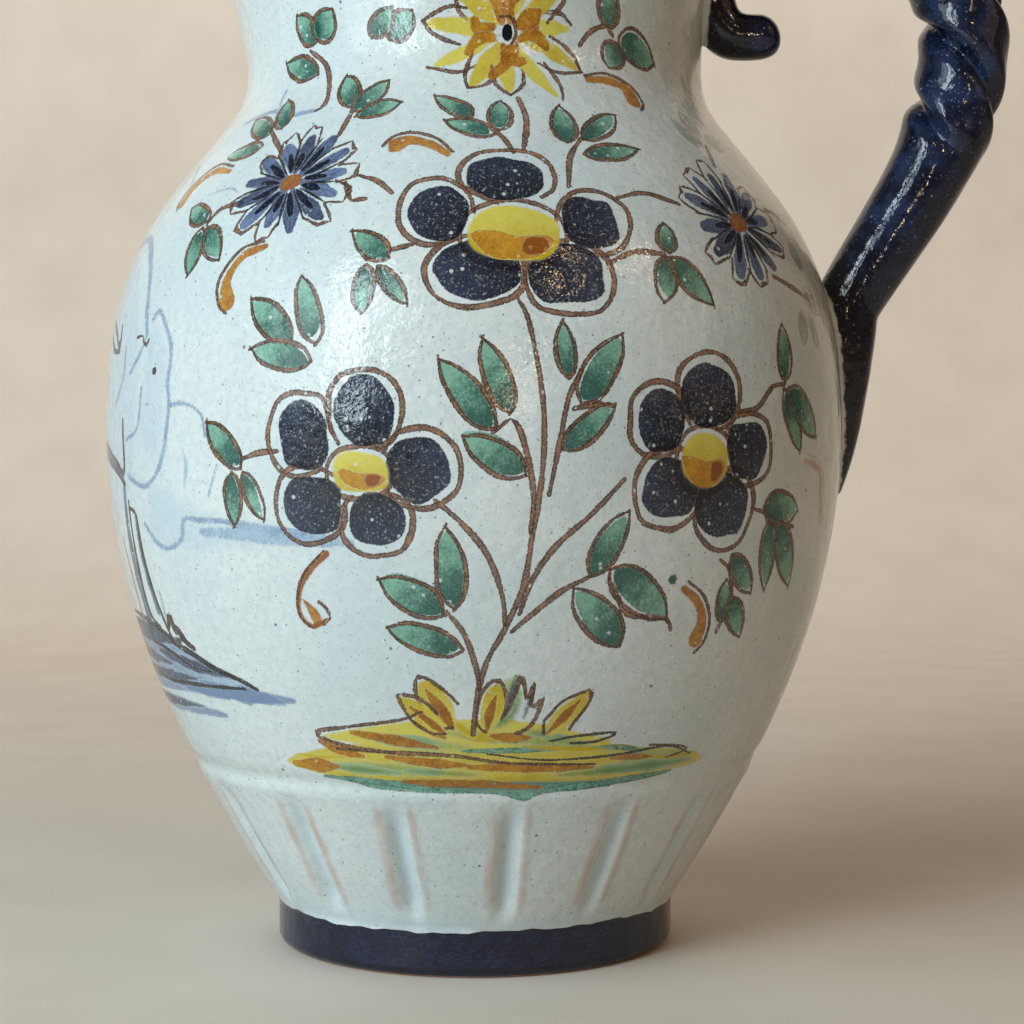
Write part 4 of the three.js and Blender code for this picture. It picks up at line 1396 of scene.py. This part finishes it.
def painted_glaze():
    """White glaze with the brushwork on it"""
    shader = Shader("painted glaze")
    base = flowed_glaze(shader)
    base = shader.blend(shader.attribute("under", "Alpha"), base, shader.attribute("under", "Color"))
    depth, load, streak = shader.split(shader.attribute("brush", "Vector"))
    thin, cover = shader.attribute("thin", "Color"), shader.attribute("thin", "Alpha")
    thick, grain = shader.attribute("thick", "Color"), shader.attribute("thick", "Alpha")
    hatch = shader.attribute("hatch", "Vector")
    softness = shader.split(hatch)[2]

    # How thick the paint is
    along_brush = shader.stretched(hatch, (MM * 1.4, MM * 0.3, 0))
    bristles = shader.centred(shader.noise(0.8, 3, vector=along_brush))
    worn = shader.times(shader.centred(shader.noise(0.65, 3, roughness=0.7)), grain)
    patches = shader.centred(shader.noise(3.4, 3))
    body = shader.plus(load, shader.times(patches, 0.9))
    body = shader.plus(body, shader.times(worn, 2.4))
    body = shader.plus(body, shader.times(bristles, shader.times(streak, 1.6)))
    rim = shader.ramp(depth, 0.6, 0.1, 0.0, 0.35)
    colour = shader.blend(shader.ramp(shader.plus(body, rim), 0.05, 0.85), thin, thick)

    # How well it covers: less along its ragged edge, where it is worn, and over the pinholes
    ragged = shader.plus(depth, shader.times(worn, shader.plus(softness, 0.9)))
    covered = shader.times(cover, shader.ramp(worn, 0.04, 0.2, 1.0, 0.5))
    covered = shader.times(shader.ramp(ragged, 0.0, softness), covered)
    pocked = shader.ramp(grain, 0.2, 0.28)
    pinholes = shader.times(shader.dots(2.9, 0.55, 0.5), shader.times(pocked, shader.ramp(depth, 0.2, 0.6)))
    covered = shader.times(covered, shader.math("SUBTRACT", 1.0, shader.times(pinholes, 0.8)))
    dust = shader.times(shader.dots(0.85, 0.2, 0.5), shader.times(pocked, 0.34))
    shader.set("Base Color", shader.blend(covered, base, shader.blend(dust, colour, PAINT_DUST)))
    glaze_surface(shader, peel=0.1, waviness=0.4)
    return shader.material


def blue_glaze():
    """The handle's dark blue glaze: clouded, with paler grain, bubbles and spots, nearly black and rusty
    near the body, and white where it meets the body"""
    shader = Shader("blue glaze")
    colour = shader.blend(shader.ramp(shader.noise(6, 4), 0.4, 0.7), DEEP_BLUE, CLOUDED_BLUE)
    dusted = shader.ramp(shader.noise(7, 3), 0.35, 0.65, 0.15, 0.6)
    colour = shader.blend(shader.times(shader.dots(0.9, 0.28, 0.6), dusted), colour, BLUE_GRAIN)
    colour = shader.blend(shader.times(shader.dots(2.1, 0.4, 0.3), 0.6), colour, BLUE_BUBBLE)
    colour = shader.blend(shader.dots(5, 0.45, 0.22), colour, PALE_SPOT)
    lift = shader.attribute("lift")
    ragged = shader.plus(lift, shader.times(shader.centred(shader.noise(3, 3)), 2.2))
    colour = shader.blend(shader.ramp(lift, 14, 8, 0.0, 0.65), colour, ROOT_BLACK)
    rusty = shader.times(shader.ramp(ragged, 14, 5), shader.dots(1.5, 0.45, 0.4))
    colour = shader.blend(shader.times(rusty, 0.6), colour, RUST)
    shader.set("Base Color", shader.blend(shader.ramp(ragged, 1.0, 1.8), DIPPED_GLAZE, colour))
    glaze_surface(shader, peel=0.05, waviness=0.35)
    return shader.material


def bare_clay():
    """Unglazed red clay under the foot"""
    shader = Shader("bare clay")
    colour = shader.blend(shader.ramp(shader.noise(6, 4), 0.3, 0.7), RED_CLAY, PALE_CLAY)
    shader.set("Base Color", shader.blend(shader.times(shader.dots(1.4, 0.2, 0.5), 0.6), colour, CLAY_GRIT))
    shader.set("Normal", shader.bump(shader.noise(0.7, 3), 0.12))
    shader.set("Roughness", 0.85)
    return shader.material


def pale_floor():
    """A plain pale floor, barely clouded"""
    shader = Shader("pale floor")
    cloud = shader.ramp(shader.noise(60, 3), 0.3, 0.7)
    shader.set("Base Color", shader.blend(cloud, FLOOR_SHADE, FLOOR_LIGHT))
    shader.set("Roughness", 0.6)
    return shader.material


# The studio

# Softboxes as (name, azimuth, elevation, distance in metres, size in metres, watts, colour). The sky lights
# the jug but isn't seen in its gloss.
SOFTBOXES = [
    ("sky", -52, 24, 1.6, (1.5, 1.3), 24, (0.75, 0.93, 1.0)),
    ("window", -37, 19, 1.5, (0.2, 0.86), 6.6, (0.77, 0.92, 1.0)),
    ("far pane", -54, 16, 1.5, (0.4, 0.7), 2.5, (0.8, 0.93, 1.0)),
    ("side pane", -24, 23, 1.5, (0.07, 0.5), 1.2, (0.84, 0.94, 1.0)),
    ("warm fill", 62, 24, 1.8, (1.0, 1.2), 1.4, (1.0, 0.60, 0.30)),
    ("lamp low", 13, 7, 2.0, (0.05, 0.11), 1.0, (1.0, 0.72, 0.42)),
    ("lamp middle", 27, 33, 2.0, (0.08, 0.08), 1.2, (1.0, 0.66, 0.34)),
    ("lamp high", 56, 37, 2.0, (0.06, 0.1), 1.2, (1.0, 0.75, 0.46)),
]
ROOM_LIGHT = (1.0, 0.68, 0.43, 1)
ROOM_STRENGTH = 0.125


def make_floor():
    """A plain floor that curves up into a backdrop far behind"""
    size, back, height, bend = 6.0, 1.3, 3.0, 0.4
    curve = [(back - bend + bend * np.sin(a), bend * (1 - np.cos(a))) for a in np.linspace(0, np.pi / 2, 16)]
    rows = [(-size, 0)] + curve + [(back, height)]
    vertices = np.array([(x, y, z) for y, z in rows for x in (-size, size)]) / MM
    faces = np.array([(2 * i, 2 * i + 1, 2 * i + 3, 2 * i + 2) for i in range(len(rows) - 1)])
    floor = new_object(mesh_of("floor", vertices, faces))
    floor.data.materials.append(pale_floor())


def softbox(name, azimuth, elevation, distance, size, power, colour):
    """A rectangular light that faces the jug's middle, placed by angles as seen from it"""
    light = bpy.data.lights.new(name, "AREA")
    light.shape = "RECTANGLE"
    light.size, light.size_y = size
    light.energy = power
    light.color = colour
    item = bpy.data.objects.new(name, light)
    bpy.context.scene.collection.objects.link(item)
    turn, rise = np.radians(azimuth), np.radians(elevation)
    way = Vector((np.sin(turn) * np.cos(rise), -np.cos(turn) * np.cos(rise), np.sin(rise)))
    middle = Vector((0, 0, 0.14))
    item.location = middle + way * distance
    item.rotation_euler = way.to_track_quat("Z", "Y").to_euler()
    return item


def make_lights():
    """Cool daylight from a window on the left, warm lamps on the right, a lit backdrop and a warm room"""
    for name, azimuth, elevation, distance, size, power, colour in SOFTBOXES:
        light = softbox(name, azimuth, elevation, distance, size, power, colour)
        light.visible_glossy = name != "sky"
    wall = softbox("wall", 0, 0, 0.6, (3.0, 1.0), 14, (1.0, 0.90, 0.80))
    wall.location = (0, 0.75, 1.3)
    wall.rotation_euler = (np.radians(62), 0, 0)
    world = bpy.data.worlds.new("studio")
    world.use_nodes = True
    background = world.node_tree.nodes["Background"]
    background.inputs["Color"].default_value = ROOM_LIGHT
    background.inputs["Strength"].default_value = ROOM_STRENGTH
    bpy.context.scene.world = world
    bpy.context.scene.view_settings.view_transform = "Standard"


def make_camera():
    """The photograph's camera"""
    camera = bpy.data.cameras.new("camera")
    camera.lens = LENS
    camera.sensor_width = SENSOR
    item = bpy.data.objects.new("camera", camera)
    bpy.context.scene.collection.objects.link(item)
    item.location = Vector(EYE) * MM
    item.rotation_euler = Euler((np.radians(TILT), 0, np.radians(TURN)))
    bpy.context.scene.camera = item


make_camera()
make_lights()
make_floor()
for piece in (make_body(), make_handle()):
    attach(piece, "root")
    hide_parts("jug")
